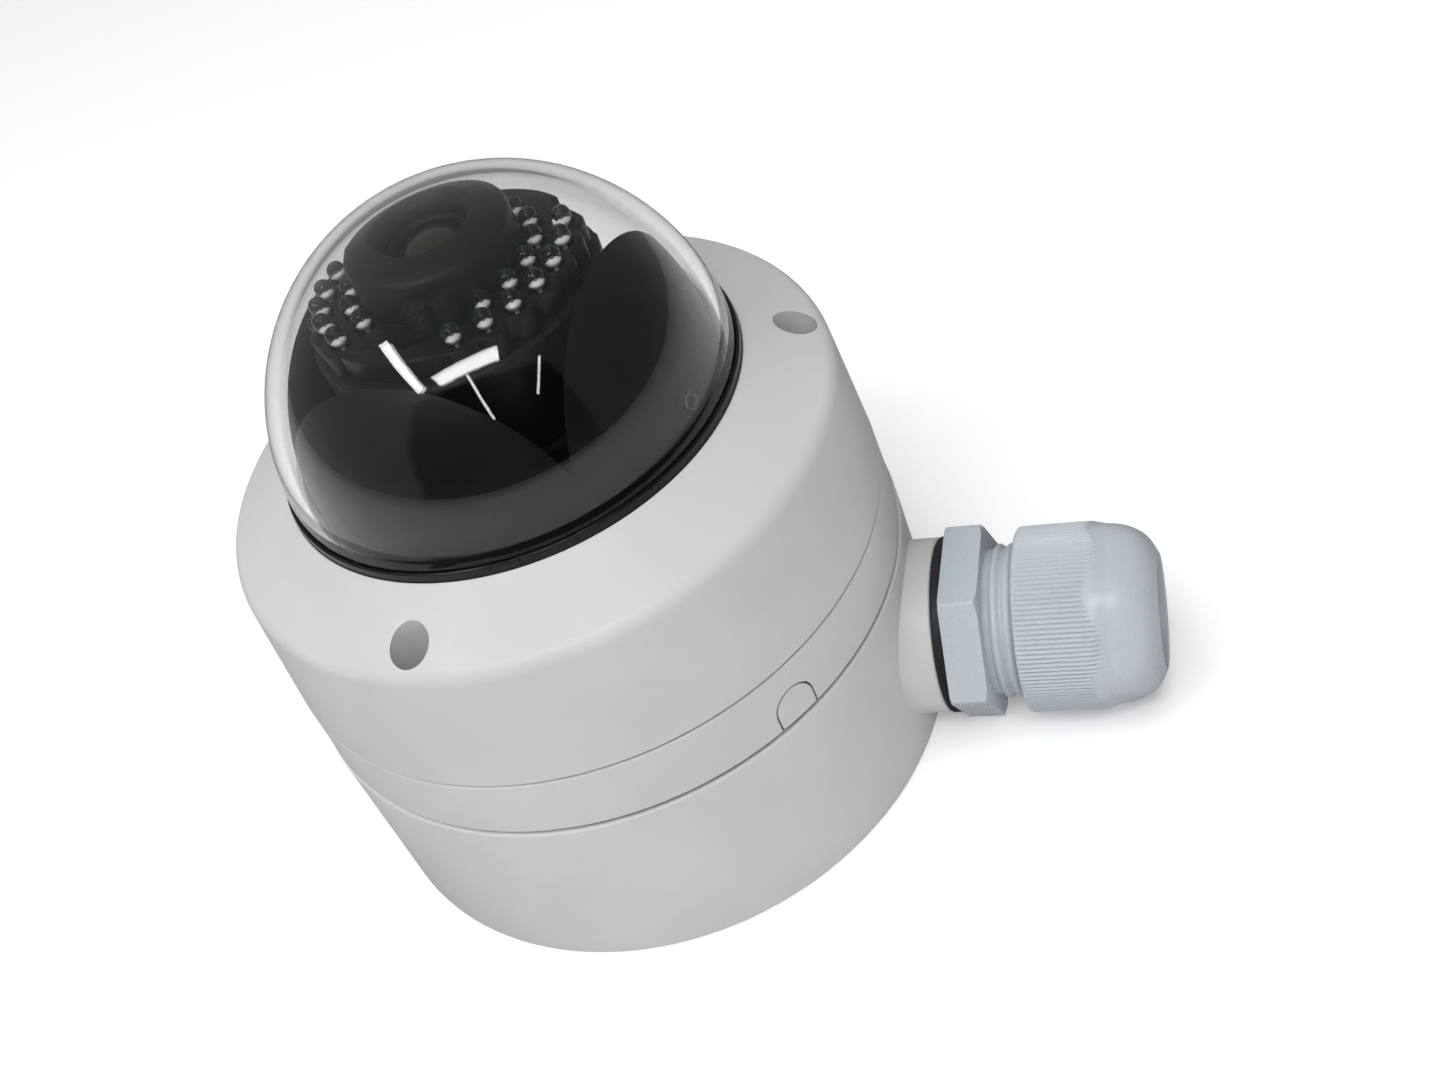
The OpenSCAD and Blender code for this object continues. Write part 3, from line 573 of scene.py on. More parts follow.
# ------------------------------------------------------------------ camera base and plug
def notch_outline(grow, n=40):
    """The notch's outline in its own plane: a round top over straight sides."""
    r = 4.05 + grow
    zc = base_z + 3.15
    z_low = base_z + (-grow if grow < 0 else -2)
    pts = [(-r, z_low), (r, z_low)]
    pts += [(r * math.cos(math.radians(t)), zc + r * math.sin(math.radians(t))) for t in [180.0 * i / n for i in range(n + 1)]]
    return pts


def extrude_radial(name, pts, r0, r1, az, mat=None):
    n = len(pts)
    v = [rot_z((r0, y, z), az) for y, z in pts] + [rot_z((r1, y, z), az) for y, z in pts]
    f = [tuple(range(n)), tuple(range(2 * n - 1, n - 1, -1))]
    f += [(i, n + i, n + (i + 1) % n, (i + 1) % n) for i in range(n)]
    return obj_from(name, v, f, mat, False)


def make_base():
    z0, z1 = base_z, base_z + 12.05
    prof = round_poly([(51.9, z0), (55.6, z0), (55.9, z0 + 0.35), (55.5, z1 - 0.35), (55.1, z1 - 0.16), (54.4, z1 - 0.16), (54.35, z1), (54.35, z1 - 0.10), (54.0, z1 - 0.10), (54.0, z1 - 1.0), (52.7, z1 - 1.0), (52.7, z1), (51.9, z1),
                       (51.9, z0 + 10.9), (9.0, z0 + 10.9), (7.0, z0 + 10.9), (7.0, z0 + 7.9), (51.9, z0 + 7.9)],
                      [0.3, 0.2, 0.35, 0.3, 0.12, 0, 0, 0, 0.05, 0, 0, 0.2, 0.3, 0.8, 0, 0.2, 0.2, 0.8], 4)
    o = lathe("base_body", prof, 288, True, white, turn=100)
    add = []
    for a in BASE_AZ:
        x, y = polar(a, 47.5)
        add.append(pin("p", x, y, z0 - 0.6, z0 + 8.5, 4.3, 48))
    for a in COVER_AZ:
        x, y = polar(a, 48.2)
        add.append(pin("p", x, y, z0 + 3, z1, 4.4, 48))
    for a in (30, 150, 270):
        x, y = polar(a, 30)
        add.append(pin("p", x, y, z0 + 8.9, z0 + 13.9, 3, 40))
    for q in add:
        apply_bool(o, q, "UNION")
    apply_bool(o, extrude_radial("notch", notch_outline(0), 48, 60, NOTCH_AZ))
    cut = []
    for a in BASE_AZ:
        x, y = polar(a, 47.5)
        cut.append(pin("h", x, y, z0 - 2, z0 + 18, 2.1, 32))
    for a in COVER_AZ:
        x, y = polar(a, 48.2)
        cut.append(pin("h", x, y, z0 + 4.2, z0 + 24, 1.5, 32))
    for a in (30, 150, 270):
        x, y = polar(a, 30)
        cut.append(pin("h", x, y, z0 + 9.4, z0 + 24, 1.05, 24))
    for a in (90, 210, 330):
        x, y = polar(a, 39.3)
        cut.append(pin("h", x, y, z0 + 8.7, z0 + 24, 1.05, 24))
    apply_bool(o, join("holes", cut))
    shade(o, 30)
    put(o, "housing", "housing_white", "camera_base")

    # the plug that closes the side notch: its face follows the wall
    p = extrude_radial("notch_cover", round_poly(notch_outline(-0.40, 24), [0.35, 0.35] + [0] * 25, 4), 50.6, 60, NOTCH_AZ, white)
    wall = lathe("wall", [(50.0, z0 - 1), (55.62, z0 - 1), (55.9, z0 + 0.4), (55.5, z1 - 0.35), (55.4, z1 + 2), (50.0, z1 + 2)], 288, True, None, smooth=False, turn=100)
    apply_bool(p, wall, "INTERSECT")
    bv = p.modifiers.new("edge", "BEVEL")
    bv.width, bv.segments, bv.limit_method, bv.angle_limit = 0.00018, 3, "ANGLE", math.radians(50)
    shade(p, 40)
    put(p, "notch_plug", "housing_white", "notch_plug")


# ------------------------------------------------------------------ cover
def slope_z(r):
    return (base_z + 42.15) - (r - 42.2) * ((base_z + 42.15) - (base_z + 36.5)) / (53.5 - 42.2)


RECESS_AT, RECESS_R = 48.6, 3.4


def make_cover():
    z0 = base_z
    zb = z0 + 12.05
    pts = [(54.4, zb), (54.45, zb + 0.12), (55.15, zb + 0.12), (55.5, zb + 0.42), (53.5, z0 + 36.5), (42.2, z0 + 42.15), (40.15, z0 + 43.2), (39.9, z0 + 42.95), (39.9, z0 + 37.3), (46.2, z0 + 37.3),
           (46.2, z0 + 34.9), (50.4, z0 + 34.9), (51.2, z0 + 32.9), (52.5, zb)]
    rad = [0, 0, 0.12, 0.3, 3.5, 1.2, 0.25, 0.15, 0.1, 0.1, 0.1, 0.4, 1.0, 0.2]
    o = lathe("cover_body", round_poly(pts, rad, 10), 320, True, white, turn=100)
    for a in COVER_AZ:
        cx, cy = polar(a, 48.2)
        n = 64
        v, f = [], []
        for k in range(n):
            t = 2 * math.pi * k / n
            x, y = cx + 4.7 * math.cos(t), cy + 4.7 * math.sin(t)
            v.append((x, y, zb))
        for k in range(n):
            t = 2 * math.pi * k / n
            x, y = cx + 4.7 * math.cos(t), cy + 4.7 * math.sin(t)
            r = math.hypot(x, y)
            v.append((x, y, min(z0 + 39.4, slope_z(r) - 1.4)))
        v += [(cx, cy, zb), (cx, cy, slope_z(48.2) - 1.4)]
        for k in range(n):
            k2 = (k + 1) % n
            f += [(k, k2, n + k2, n + k), (k2, k, 2 * n), (n + k, n + k2, 2 * n + 1)]
        apply_bool(o, obj_from("post", v, f, None, False), "UNION")
    for a in COVER_AZ:
        x, y = polar(a + 60, 47.8)
        apply_bool(o, pin("boss", x, y, z0 + 34.5, z0 + 37.6, 1.95, 32), "UNION")
    cut = []
    for a in COVER_AZ:
        x, y = polar(a, 48.2)
        cut.append(lathe("c", [(0, zb - 1), (1.75, zb - 1), (1.75, z0 + 22), (0, z0 + 22)], 48, False, None, "Z", (x, y, 0), smooth=False))
        x, y = polar(a, RECESS_AT)
        cut.append(lathe("c", [(0, z0 + 21), (RECESS_R - 0.2, z0 + 21), (RECESS_R, z0 + 21.2), (RECESS_R, z0 + 60), (0, z0 + 60)], 96, False, None, "Z", (x, y, 0), smooth=False))
        x, y = polar(a + 60, 47.8)
        cut.append(pin("c", x, y, z0 + 33.3, z0 + 37.1, 1.22, 24))
    apply_bool(o, join("cuts", cut))
    # soften the mouth of each screw recess
    bm = bmesh.new()
    bm.from_mesh(o.data)
    bmesh.ops.remove_doubles(bm, verts=bm.verts, dist=2e-6)
    mouth = []
    for e in bm.edges:
        if len(e.link_faces) != 2 or e.calc_face_angle(0) < math.radians(35):
            continue
        m = (e.verts[0].co + e.verts[1].co) * 500
        if m.z < z0 + 37.5:
            continue
        for a in COVER_AZ:
            x, y = polar(a, RECESS_AT)
            if all(abs(math.hypot(w.co.x * 1000 - x, w.co.y * 1000 - y) - RECESS_R) < 0.03 for w in e.verts):
                mouth.append(e)
                break
    if mouth:
        bmesh.ops.bevel(bm, geom=mouth, offset=0.00042, offset_type="OFFSET", segments=4, profile=0.5, affect="EDGES", clamp_overlap=True)
    bm.to_mesh(o.data)
    bm.free()
    shade(o, 30)
    put(o, "cover", "housing_white", "cover")


# ------------------------------------------------------------------ clear dome and its lip
def make_bubble():
    R, t = DOME_R, 2.2
    s = base_z + 37.3
    prof = [(R - t, s - 2.8), (45.6, s - 2.8), (45.6, s - 0.8), (R + 0.5, s - 0.8), (R + 0.12, s - 0.6), (R, s - 0.2)]
    prof += [(R, s + 1.5), (R, s + 3.6)]
    prof += [(R * math.cos(math.radians(a)), piv_z + R * math.sin(math.radians(a))) for a in [90.0 * i / 80 for i in range(80)]] + [(0, piv_z + R)]
    prof += [(0, piv_z + R - t)] + [((R - t) * math.cos(math.radians(a)), piv_z + (R - t) * math.sin(math.radians(a))) for a in [90.0 - 90.0 * i / 80 for i in range(1, 81)]]
    o = lathe("clear_dome", prof, 288, True, dome_clear, angle=40)
    cut = []
    for a in COVER_AZ:
        x, y = polar(a, 48.2)
        cut.append(pin("c", x, y, s - 5, s, 5.0, 48))
    apply_bool(o, join("cuts", cut))
    shade(o, 40)
    put(o, "cover", "clear_dome", "bubble")


def make_lip():
    s = base_z + 37.3
    top = base_z + 43.2 + 1.5
    prof = round_poly([(DOME_R + 0.02, s - 0.8), (45.7, s - 0.8), (45.7, s), (39.86, s), (39.86, top), (DOME_R + 0.02, top)], [0, 0.2, 0.2, 0, 0.26, 0.05], 6)
    o = lathe("dome_lip", prof, 288, True, rubber)
    cut = []
    for a in COVER_AZ:
        x, y = polar(a, 48.2)
        cut.append(pin("c", x, y, s - 2, s + 0.5, 5.0, 48))
    apply_bool(o, join("cuts", cut))
    shade(o, 30)
    put(o, "cover", "rubber_black", "bubble_gasket")


# ------------------------------------------------------------------ cable gland
def make_gland():
    o = lathe("gland_flat_washer", round_poly([(10.0, washer_x0), (15.8, washer_x0), (15.8, washer_x1), (10.0, washer_x1)], [0.2, 0.45, 0.45, 0.2], 5), 160, True, rubber_matt, "X", (0, 0, gland_z))
    put(o, "housing", "rubber_black", "gland_washer")

    x0 = washer_x1
    af = 31.4
    rc = af / math.sqrt(3)
    # hexagon with rounded corners, then its ends turned to a cone
    hexa = round_poly([(rc * math.cos(math.radians(60 * k)), rc * math.sin(math.radians(60 * k))) for k in range(6)], 0.8, 4)
    n = len(hexa)
    v = [(x0, y, z) for y, z in hexa] + [(x0 + 6.6, y, z) for y, z in hexa]
    # the corners point along Y, so a flat faces the wall
    f = [tuple(range(n - 1, -1, -1)), tuple(range(n, 2 * n))] + [(i, (i + 1) % n, n + (i + 1) % n, n + i) for i in range(n)]
    h = obj_from("gland_nut", [(x, y, z + gland_z) for x, y, z in v], f, gland, False)
    cone = lathe("cone", [(0, x0 - 1), (rc - 0.6, x0 - 0.0), (rc - 0.45, x0), (rc + 0.4, x0 + 0.7), (rc + 0.3, x0 + 6.0), (rc - 0.8, x0 + 6.5), (rc - 1.05, x0 + 6.6), (0, x0 + 6.61)], 240, False, None, "X", (0, 0, gland_z), smooth=False)
    apply_bool(h, cone, "INTERSECT")
    prof = [(9.85, 47.6), (9.85, x0 + 0.5), (12.4, x0 + 0.5), (12.9, x0 + 6.0)]
    for k in range(6):
        b = x0 + 6.5 + 2.15 * k
        prof += [(12.9, b + 1.15), (13.15, b + 1.4), (13.45, b + 1.65), (13.66, b + 1.95), (13.7, b + 2.15), (13.66, b + 2.35), (13.45, b + 2.65), (13.15, b + 2.9), (12.9, b + 3.15)]
    prof = [p for i, p in enumerate(prof) if i == 0 or p[1] > prof[i - 1][1] or p[0] != prof[i - 1][0]]
    clean = [prof[0]]
    for p in prof[1:]:
        if p[1] >= clean[-1][1] - 1e-6:
            clean.append(p)
    prof = clean + [(12.6, x0 + 21.1), (11.4, x0 + 25.5)]
    prof += [(9.3, x0 + 25.5), (9.3, x0 + 11), (7.2, x0 + 10.8), (7.2, 47.6)]
    neck = lathe("neck", prof, 192, True, None, "X", (0, 0, gland_z), smooth=False)
    apply_bool(h, lathe("bore", [(0, x0 - 1), (10.5, x0 - 1), (10.5, x0 + 8), (0, x0 + 8)], 96, False, None, "X", (0, 0, gland_z), smooth=False))
    apply_bool(neck, h, "UNION", keep=True)
    hm = h.data
    bpy.data.objects.remove(h)
    bpy.data.meshes.remove(hm)
    slits = []
    for a in (0, 45, 90, 135):
        b = block("s", (x0 + 21, -20, -0.5), (x0 + 33, 20, 0.5))
        b.data.transform(Matrix.Translation((0, 0, gland_z * MM)) @ Matrix.Rotation(math.radians(a), 4, "X"))
        slits.append(b)
    for b in slits:
        apply_bool(neck, b)
    neck.name = "gland_nut_body"
    neck.data.materials.clear()
    neck.data.materials.append(gland)
    shade(neck, 28)
    put(neck, "housing", "gland_plastic", "gland_body")

    xs = x0 + 12.2
    prof = round_poly([(4.25, xs), (9.25, xs), (9.25, xs + 13.6), (8.9, xs + 14.6), (8.9, xs + 19.2), (8.2, xs + 20.0), (5.45, xs + 20.0), (4.25, xs + 19.0)], 0.3, 4)
    o = lathe("gland_seal_ring", prof, 144, True, seal_grey, "X", (0, 0, gland_z))
    put(o, "housing", "rubber_grey", "gland_seal")

    # cap: fine grip ribs that fade into a rounded end with six faint flats
    ribs, L = 120, cap_x1 - cap_x0
    R = cap_r
    outer = [(R - 0.75, 0.0), (R - 0.45, 0.08), (R - 0.2, 0.25), (R - 0.05, 0.5), (R, 0.9)]
    outer += [(R, h) for h in [1.6 + 0.6 * i for i in range(16)]]
    outer += [(R, 11.2), (R, 11.7), (R - 0.01, 12.2), (R - 0.02, 12.7), (R - 0.04, 13.2), (R - 0.08, 13.7), (R - 0.13, 14.2), (R - 0.20, 14.7), (R - 0.29, 15.2), (R - 0.40, 15.7)]
    outer += [(R - 8.45 + 8 * math.cos(math.radians(t)), L - 7.9 + 8 * math.sin(math.radians(t))) for t in [4 + 3.4 * i for i in range(20)]]
    outer += [(R - 5.95, L - 0.20), (R - 6.15, L - 0.08), (R - 6.35, L)]
    n_out = len(outer)
    inner = [(9.9, L)] + [(9.62, L - 0.08), (9.5, L - 0.3), (9.5, 20.5), (13.6, 13.1), (13.78, 12.7), (13.78, 0.6), (14.1, 0.05), (14.3, 0.0)]
    prof = outer + inner

    def warp(r, h, a, i):
        if i >= n_out:
            return r, h
        six = math.cos(6 * a)                     # +1 on a corner, -1 on a flat
        end = 13.5 - 1.1 * six                   # where the ribs stop
        t = max(0.0, min(1.0, (end - h) / 0.9)) * max(0.0, min(1.0, (h - 0.15) / 0.7))
        t = t * t * (3 - 2 * t)
        ph = (a * ribs / (2 * math.pi)) % 1.0
        w = 0.5 - 0.5 * math.cos(2 * math.pi * ph)
        groove = 1 - w ** 0.55                    # narrow grooves between wide ribs
        r2 = r - 0.36 * t * min(1.0, groove * 1.35)
        u = max(0.0, min(1.0, (h - 12.6) / 2.6)) * max(0.0, min(1.0, (L - 1.0 - h) / 5.0))
        r2 -= 0.75 * (u * u * (3 - 2 * u)) * (0.5 - 0.5 * six)
        return r2, h

    o = lathe("gland_cap_nut", [(r, h) for r, h in prof], ribs * 12, True, gland, "X", (cap_x0, 0, gland_z), warp=warp, angle=60)
    put(o, "gland_cap", "gland_plastic", "gland_cap")


# ------------------------------------------------------------------ inner liner
def make_liner():
    zb = base_z + 21.2
    Ro, Ri = 35.8, 34.5
    prof = [(Ri, zb), (Ro, zb), (Ro, zb + 8), (Ro, zb + 16)]
    prof += [(Ro * math.cos(math.radians(a)), piv_z + Ro * math.sin(math.radians(a))) for a in [88.0 * i / 60 for i in range(61)]]
    prof += [(Ri * math.cos(math.radians(a)), piv_z + Ri * math.sin(math.radians(a))) for a in [88.0 - 88.0 * i / 60 for i in range(61)]]
    prof += [(Ri, zb + 16), (Ri, zb + 8)]
    o = lathe("inner_liner", prof, 240, True, liner_black, turn=7)
    apply_bool(o, block("slot_a", (-24.7, -24.9, piv_z), (24.7, 60, piv_z + 60)))
    apply_bool(o, block("slot_b", (-24.7, 0, base_z + 26.3), (24.7, 60, piv_z + 60)))
    bv = o.modifiers.new("edge", "BEVEL")
    bv.width, bv.segments, bv.limit_method, bv.angle_limit = 0.0003, 3, "ANGLE", math.radians(50)
    bv.harden_normals = False
    aim(o)
    shade(o, 35)
    put(o, "pan", "liner_black", "liner")


# ------------------------------------------------------------------ camera head
LED_OUT = [30.5 + 14.65 * i for i in range(7)] + [-30.5 - 14.65 * i for i in range(7)]
LED_IN = [30.5 + 20.1 * i for i in range(7)] + [-30.5 - 20.1 * i for i in range(7)]
LED_AT = [polar(-90 + a, 19.55) for a in LED_OUT] + [polar(-90 + a, 15.0) for a in LED_IN]


def make_head():
    p = piv_z
    prof = round_poly([(4, p - 17.8), (12, p - 17.8), (15, p - 15.6), (20.2, p - 10.6), (21.95, p - 8.2), (21.95, p + 6.3), (23.3, p + 6.3), (23.6, p + 6.8), (23.6, p + 22.9),
                       (23.0, p + 23.4), (19.6, p + 23.4), (19.6, p + 22.2), (21.6, p + 20.6), (21.6, p + 8.6), (20.2, p + 6.6), (20.2, p - 7.8), (18.9, p - 9.6), (14.2, p - 14.2), (11.4, p - 16.1), (4, p - 16.1)],
                      [0.3, 1.5, 1.5, 1.5, 1.0, 0.3, 0.2, 0.3, 0.5, 0.3, 0.2, 0.2, 0.5, 0.5, 0.5, 0.5, 0.5, 1, 1, 0.3], 4)
    o = lathe("head_body", prof, 240, True, mech_black)
    for s in (-1, 1):
        apply_bool(o, block("grip", (22.4, -4, p + 21.2), (26, 4, p + 26), -90 + s * 133, 0))
    posts = [pin("p", x, y, p - 13.7, p + 7.3, 1.7, 24) for x in (-10.6, 10.6) for y in (-10.6, 10.6)]
    for q in posts:
        apply_bool(o, q, "UNION")
    aim(o)
    shade(o, 30)
    put(o, "head", "mechanism_black", "head_shell")

    # lamp plate: a scalloped edge round the outer lamps, with a rounded rim
    z0, z1 = p + 23.5, p + 27.4
    N = 720

    def edge_r(th, inset):
        best = 21.45 - inset
        for a in LED_OUT:
            c = math.radians(-90 + a)
            d = math.cos(th - c) * 19.55
            disc = (3.0 - inset) ** 2 - (19.55 * math.sin(th - c)) ** 2
            if disc > 0 and d > 0:
                best = max(best, d + math.sqrt(disc))
        return best

    levels = [(z0, 0.15), (z0 + 0.12, 0.0), (z1 - 0.5, 0.0), (z1 - 0.34, 0.03), (z1 - 0.18, 0.12), (z1 - 0.06, 0.26), (z1, 0.46)]
    v, f = [], []
    for z, ins in levels:
        for k in range(N):
            th = 2 * math.pi * k / N
            r = edge_r(th, ins)
            v.append((r * math.cos(th), r * math.sin(th), z))
    m = len(levels)
    for i in range(m - 1):
        for k in range(N):
            k2 = (k + 1) % N
            f.append((i * N + k, i * N + k2, (i + 1) * N + k2, (i + 1) * N + k))
    f.append(tuple(range(N - 1, -1, -1)))
    f.append(tuple(range((m - 1) * N, m * N)))
    pl = obj_from("lamp_plate", v, f, plate_black, False)
    apply_bool(pl, pin("c", 0, 0, z0 - 3, z1 + 3, 12.85, 160))
    apply_bool(pl, pin("c", 0, 0, z0 - 3, z0 + 1.9, 20.95, 160))
    cut = [pin("c", x, y, z0 - 3, z1, led + 0.1, 40, 0.28, 0.3) for (x, y), led in zip(LED_AT, [1.5] * 28)]
    sx, sy = polar(-90 + 17, 15.6)
    cut.append(pin("c", sx, sy, z0 - 3, z1, 1.7, 48, 0.25, 0.3))
    apply_bool(pl, join("cuts", cut))
    for s in (-1, 1):
        apply_bool(pl, block("grip", (19.5, -4, p + 25.9), (27, 4, p + 31), -90 + s * 133, 0.6))
    # three pinholes of the microphone, by the rim
    mic = []
    for k, (dx, dy) in enumerate(((0, 0), (0.75, 0.35), (-0.1, 0.85), (0.7, 1.2), (-0.75, 0.45))):
        mx, my = polar(-90 - 13, 16.2)
        mic.append(pin("c", mx + dx, my + dy, z1 - 0.7, z1 + 2, 0.17, 12))
    apply_bool(pl, join("cuts", mic))
    aim(pl)
    shade(pl, 30)
    put(pl, "head", "mechanism_black", "led_plate")

    # lamps: a clear body, a bright cup and a die in each
    zb = p + 25.1
    bodies, cups, dies = [], [], []
    for x, y in LED_AT:
        prof = [(0, zb), (1.46, zb), (1.5, zb + 0.05)] + [(1.5, zb + 1.2), (1.5, zb + 2.4), (1.5, zb + 3.6)] + arc(0, zb + 3.8, 1.5, 0, 84, 14)[0:] + [(0, zb + 5.3)]
        bodies.append(lathe("l", prof, 40, False, None, "Z", (x, y, 0), smooth=False))
        cup = [(0, zb + 3.50), (0.25, zb + 3.46), (0.5, zb + 3.34), (0.70, zb + 3.12), (0.78, zb + 2.88), (0.66, zb + 2.5), (0.2, zb + 2.1), (0.2, zb + 0.3), (0, zb + 0.3)]
        cups.append(lathe("c", cup, 32, False, None, "Z", (x, y, 0), smooth=False))
        dies.append(block("d", (x - 0.14, y - 0.14, zb + 3.46), (x + 0.14, y + 0.14, zb + 3.58)))
    o = join("lamp_bodies", bodies, led_clear)
    aim(o); shade(o, 40)
    put(o, "head", "led_clear", "leds")
    o = join("lamp_cups", cups, silver)
    aim(o); shade(o, 40)
    put(o, "head", "steel")
    o = join("lamp_dies", dies, die)
    aim(o); shade(o, 30)
    put(o, "head", "chip")

    # hood: its rounded front follows the inside of the dome
    hr = 13.2
    prof = [(6.7, p + 22.4), (14.6, p + 22.4), (14.6, p + 23.4), (12.75, p + 23.4), (12.75, p + 27.6), (hr - 0.1, p + 28.1), (hr, p + 28.4), (hr, p + 31.0), (hr, p + 33.0)]
    prof += arc(hr - 1.6, p + 33.0, 1.6, 4, 64, 10)
    e = prof[-1]
    rs = [11.9 - 0.35 * i for i in range(11)]
    for r in rs:
        prof.append((r, min(p + math.sqrt(36.7 * 36.7 - r * r), e[1] + (e[0] - r) * 0.49)))
    prof += [(8.2, p + 35.70), (7.95, p + 35.62), (7.75, p + 35.45), (7.2, p + 35.1), (6.95, p + 34.7), (6.75, p + 34.2), (6.7, p + 33.5)]
    o = lathe("lens_hood_body", prof, 200, True, hood_black, angle=40)
    aim(o)
    put(o, "head", "mechanism_black", "lens_hood")

    prof = round_poly([(4.2, p + 13.2), (6.0, p + 13.2), (6.0, p + 26.1), (6.5, p + 26.3), (6.5, p + 33.2), (6.1, p + 33.2), (5.55, p + 32.8), (5.55, p + 30.95), (4.2, p + 30.9)],
                      [0.1, 0.2, 0.1, 0.1, 0.2, 0.1, 0.1, 0.1, 0.1], 4)
    o = lathe("lens_barrel_body", prof, 144, True, liner_black)
    aim(o)
    put(o, "head", "mechanism_black", "lens_barrel")

    rr = 9.0
    prof = [(0, p + 30.9), (5.5, p + 30.9), (5.5, p + 24.9 + math.sqrt(rr * rr - 5.5 * 5.5))]
    prof += [(r, p + 24.9 + math.sqrt(rr * rr - r * r)) for r in [5.4 - 0.3 * i for i in range(18)]] + [(0, p + 33.9)]
    o = lathe("lens_front", prof, 96, False, lens_mat, angle=50)
    aim(o)
    put(o, "head", "lens", "lens_glass")


make_box()
make_base()
make_cover()
make_bubble()
make_lip()
make_gland()
make_liner()
make_head()


# ------------------------------------------------------------------ floor, light, camera
def floor():
    s = 3000
    o = obj_from("floor", [(-s, -s, 0), (s, -s, 0), (s, s, 0), (-s, s, 0)], [(0, 1, 2, 3)], None, False)
    m = Mat("floor_pale")
    c = m.mix(m.ramp(m.noise(3.0, 3.0), 0.3, 0.7), (0.925, 0.925, 0.925), (0.94, 0.94, 0.94))
    m.set(Base_Color=c, Roughness=0.9, Specular_IOR_Level=0.1, Emission_Color=(1.0, 1.0, 1.0), Emission_Strength=0.20)
    o.data.materials.append(m.m)
    o.location.z = -0.00005
    o.visible_glossy = False


floor()


def area(name, toward, dist, size, power, color=(1, 1, 1), target=(0, 0, 0.08), up=None, size_y=None):
    """A soft light that stands at a distance from the target, along a direction, and faces it."""
    d = Vector(toward).normalized()
    lt = bpy.data.lights.new(name, "AREA")
    lt.energy = power
    lt.color = color
    lt.shape = "RECTANGLE" if size_y else "SQUARE"
    lt.size = size
    if size_y:
        lt.size_y = size_y
    o = bpy.data.objects.new(name, lt)
    bpy.context.scene.collection.objects.link(o)
    z = d
    u = Vector(up) if up else Vector((0, 0, 1))
    if abs(z.dot(u.normalized())) > 0.99:
        u = Vector((0, 1, 0))
    x = u.cross(z).normalized()
    y = z.cross(x)
    mt = Matrix((x, y, z)).transposed().to_4x4()
    mt.translation = Vector(target) + d * dist
    o.matrix_world = mt
    o.visible_camera = False
    return o


def patch(name, dirs, dist, radiance):
    """A small bright panel whose corners lie along four directions from the dome."""
    c = Vector((12, -20, 108))
    P = [c + Vector(d).normalized() * dist * 1000 for d in dirs]
    # the panel is cut into cells, which all shine alike
    n, v, f = 8, [], []
    for a in range(n + 1):
        for b in range(n + 1):
            u, w = a / n, b / n
            v.append(tuple((P[0] * (1 - u) + P[1] * u) * (1 - w) + (P[3] * (1 - u) + P[2] * u) * w))
    for a in range(n):
        for b in range(n):
            k = a * (n + 1) + b
            f.append((k, k + 1, k + n + 2, k + n + 1))
    m = bpy.data.materials.new(name)
    m.use_nodes = True
    nt = m.node_tree
    nt.nodes.clear()
    o_ = nt.nodes.new("ShaderNodeOutputMaterial")
    e = nt.nodes.new("ShaderNodeEmission")
    e.inputs["Color"].default_value = (0.97, 0.985, 1.0, 1)
    e.inputs["Strength"].default_value = radiance
    nt.links.new(e.outputs[0], o_.inputs["Surface"])
    o = obj_from(name, v, f, m, False)
    o.visible_camera = False
    o.visible_shadow = False
    return o


key = area("key_soft", (-0.02, -0.14, 0.96), 1.6, 1.3, 16.5)
key.visible_glossy = key.visible_transmission = False
fill = area("fill_left", (-0.95, -0.45, 0.35), 1.5, 1.2, 0.3)
fill.visible_glossy = fill.visible_transmission = False
fill2 = area("fill_right", (0.80, -0.75, 0.50), 1.5, 1.2, 2.6)
fill2.visible_glossy = fill2.visible_transmission = False
patch("window_a", [(-0.56, -0.24, 0.79), (-0.50, -0.235, 0.83), (-0.235, -0.63, 0.74), (-0.275, -0.655, 0.705)], 1.1, 19.0)
patch("window_b", [(-0.169, -0.582, 0.796), (0.343, -0.361, 0.867), (0.365, -0.455, 0.812), (-0.10, -0.645, 0.758)], 1.1, 14.0)
patch("slit_a", [(0.108, -0.590, 0.800), (0.126, -0.584, 0.803), (0.300, -0.812, 0.502), (0.284, -0.818, 0.502)], 1.1, 12.0)
patch("slit_b", [(0.628, -0.337, 0.700), (0.640, -0.333, 0.693), (0.628, -0.583, 0.514), (0.617, -0.583, 0.528)], 1.1, 12.0)

world = bpy.data.worlds.new("studio")
bpy.context.scene.world = world
world.use_nodes = True
wn = world.node_tree
wn.nodes.clear()
out = wn.nodes.new("ShaderNodeOutputWorld")
bg = wn.nodes.new("ShaderNodeBackground")
tc = wn.nodes.new("ShaderNodeTexCoord")
wn.links.new(bg.outputs[0], out.inputs[0])
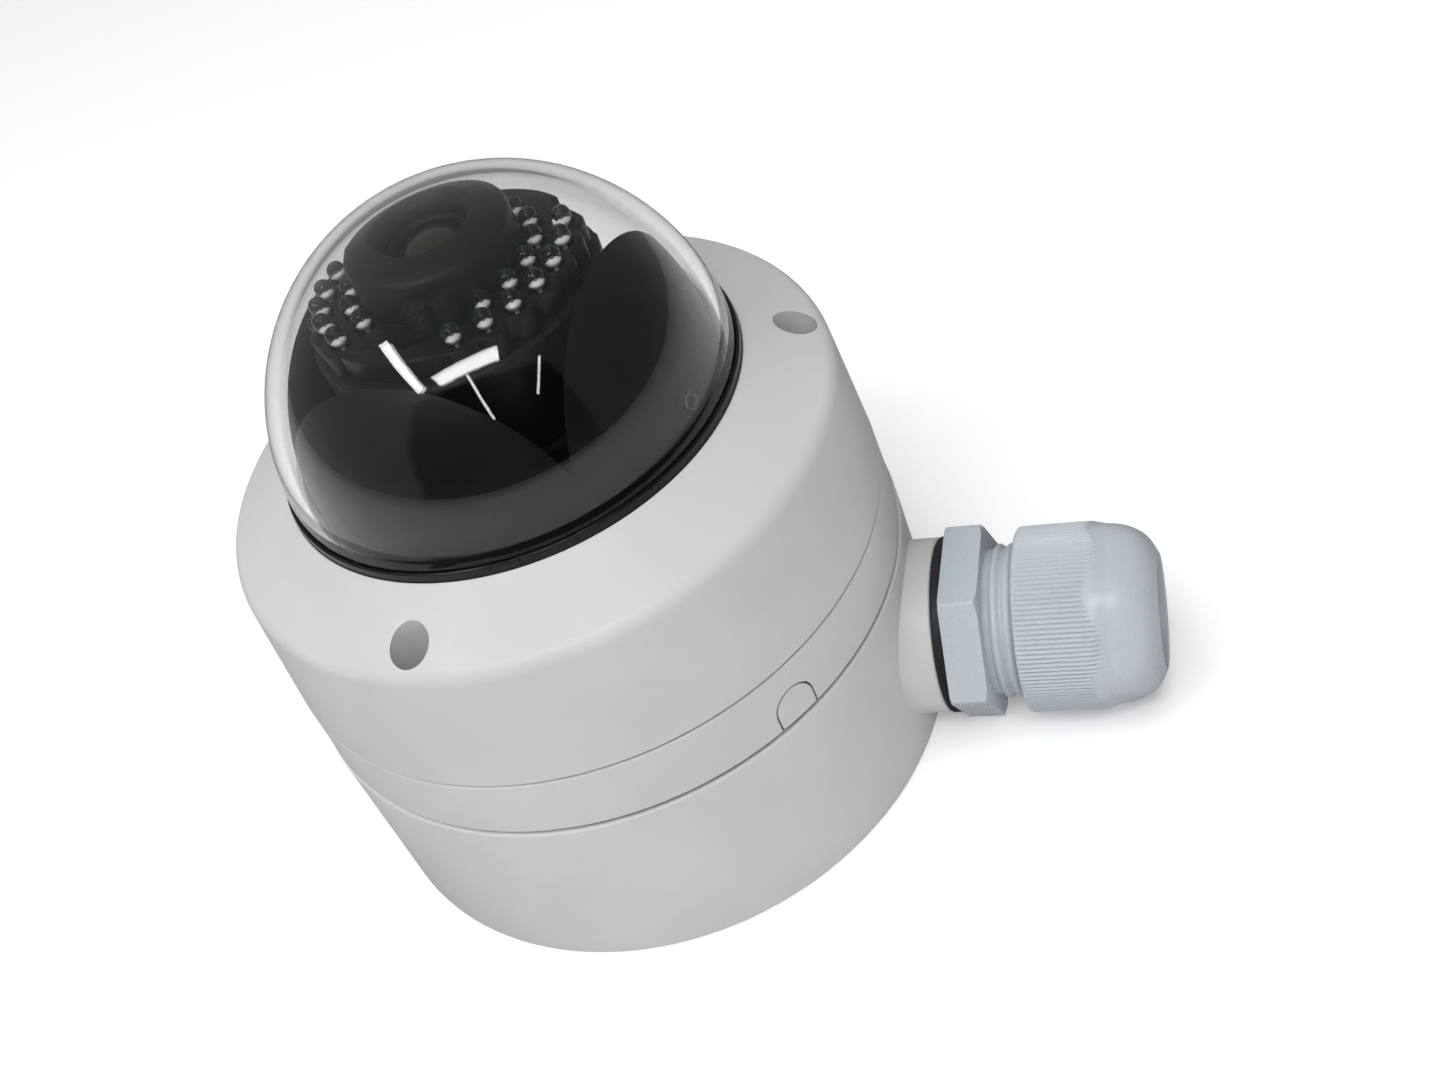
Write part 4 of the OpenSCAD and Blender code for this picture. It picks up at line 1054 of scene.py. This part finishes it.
# a pale tent with one dark opening in front
poly = [Vector(d).normalized() for d in ((-0.322, -0.686, 0.654), (-0.429, -0.833, 0.349), (-0.372, -0.921, -0.114), (0.865, -0.468, -0.182), (0.679, -0.342, 0.65))]
mask = None
cen = sum(poly, Vector()).normalized()
for i in range(5):
    nrm = poly[i].cross(poly[(i + 1) % 5]).normalized()
    if nrm.dot(cen) < 0:
        nrm = -nrm
    dp = wn.nodes.new("ShaderNodeVectorMath")
    dp.operation = "DOT_PRODUCT"
    dp.inputs[1].default_value = nrm
    wn.links.new(tc.outputs["Generated"], dp.inputs[0])
    mr = wn.nodes.new("ShaderNodeMapRange")
    mr.interpolation_type = "SMOOTHSTEP"
    mr.inputs["From Min"].default_value = -0.012
    mr.inputs["From Max"].default_value = 0.012
    wn.links.new(dp.outputs["Value"], mr.inputs["Value"])
    if mask is None:
        mask = mr.outputs["Result"]
    else:
        mu = wn.nodes.new("ShaderNodeMath")
        mu.operation = "MULTIPLY"
        wn.links.new(mask, mu.inputs[0])
        wn.links.new(mr.outputs["Result"], mu.inputs[1])
        mask = mu.outputs[0]
# brighter to the upper left, dimmer to the right
side = wn.nodes.new("ShaderNodeVectorMath")
side.operation = "DOT_PRODUCT"
side.inputs[1].default_value = Vector((-0.75, 0.20, 0.62)).normalized()
wn.links.new(tc.outputs["Generated"], side.inputs[0])
lum = wn.nodes.new("ShaderNodeMapRange")
lum.inputs["From Min"].default_value = -1.0
lum.inputs["From Max"].default_value = 1.0
lum.inputs["To Min"].default_value = 0.05
lum.inputs["To Max"].default_value = 0.24
wn.links.new(side.outputs["Value"], lum.inputs["Value"])
sc = wn.nodes.new("ShaderNodeMix")
sc.data_type = "FLOAT"
wn.links.new(mask, sc.inputs[0])
wn.links.new(lum.outputs["Result"], sc.inputs[2])
sc.inputs[3].default_value = 0.012
wn.links.new(sc.outputs[0], bg.inputs["Strength"])
bg.inputs["Color"].default_value = (0.985, 0.995, 1.0, 1)

look = Vector((-0.3228, 0.6606, -0.6778)).normalized()
up = Vector((0.0783, 0.7323, 0.6764))
right = look.cross(up).normalized()
up = right.cross(look).normalized()
cam = bpy.data.cameras.new("camera")
cam.lens = 41.0
cam.sensor_width = 36.0
cam.sensor_fit = "HORIZONTAL"
cam.clip_start = 0.01
cam.clip_end = 50
co = bpy.data.objects.new("camera", cam)
bpy.context.scene.collection.objects.link(co)
mt = Matrix((right, up, -look)).transposed().to_4x4()
mt.translation = Vector((0.119197, -0.191295, 0.23872))
co.matrix_world = mt
bpy.context.scene.camera = co
bpy.context.scene.view_settings.view_transform = "Standard"
bpy.context.scene.view_settings.look = "None"

bpy.context.view_layer.update()
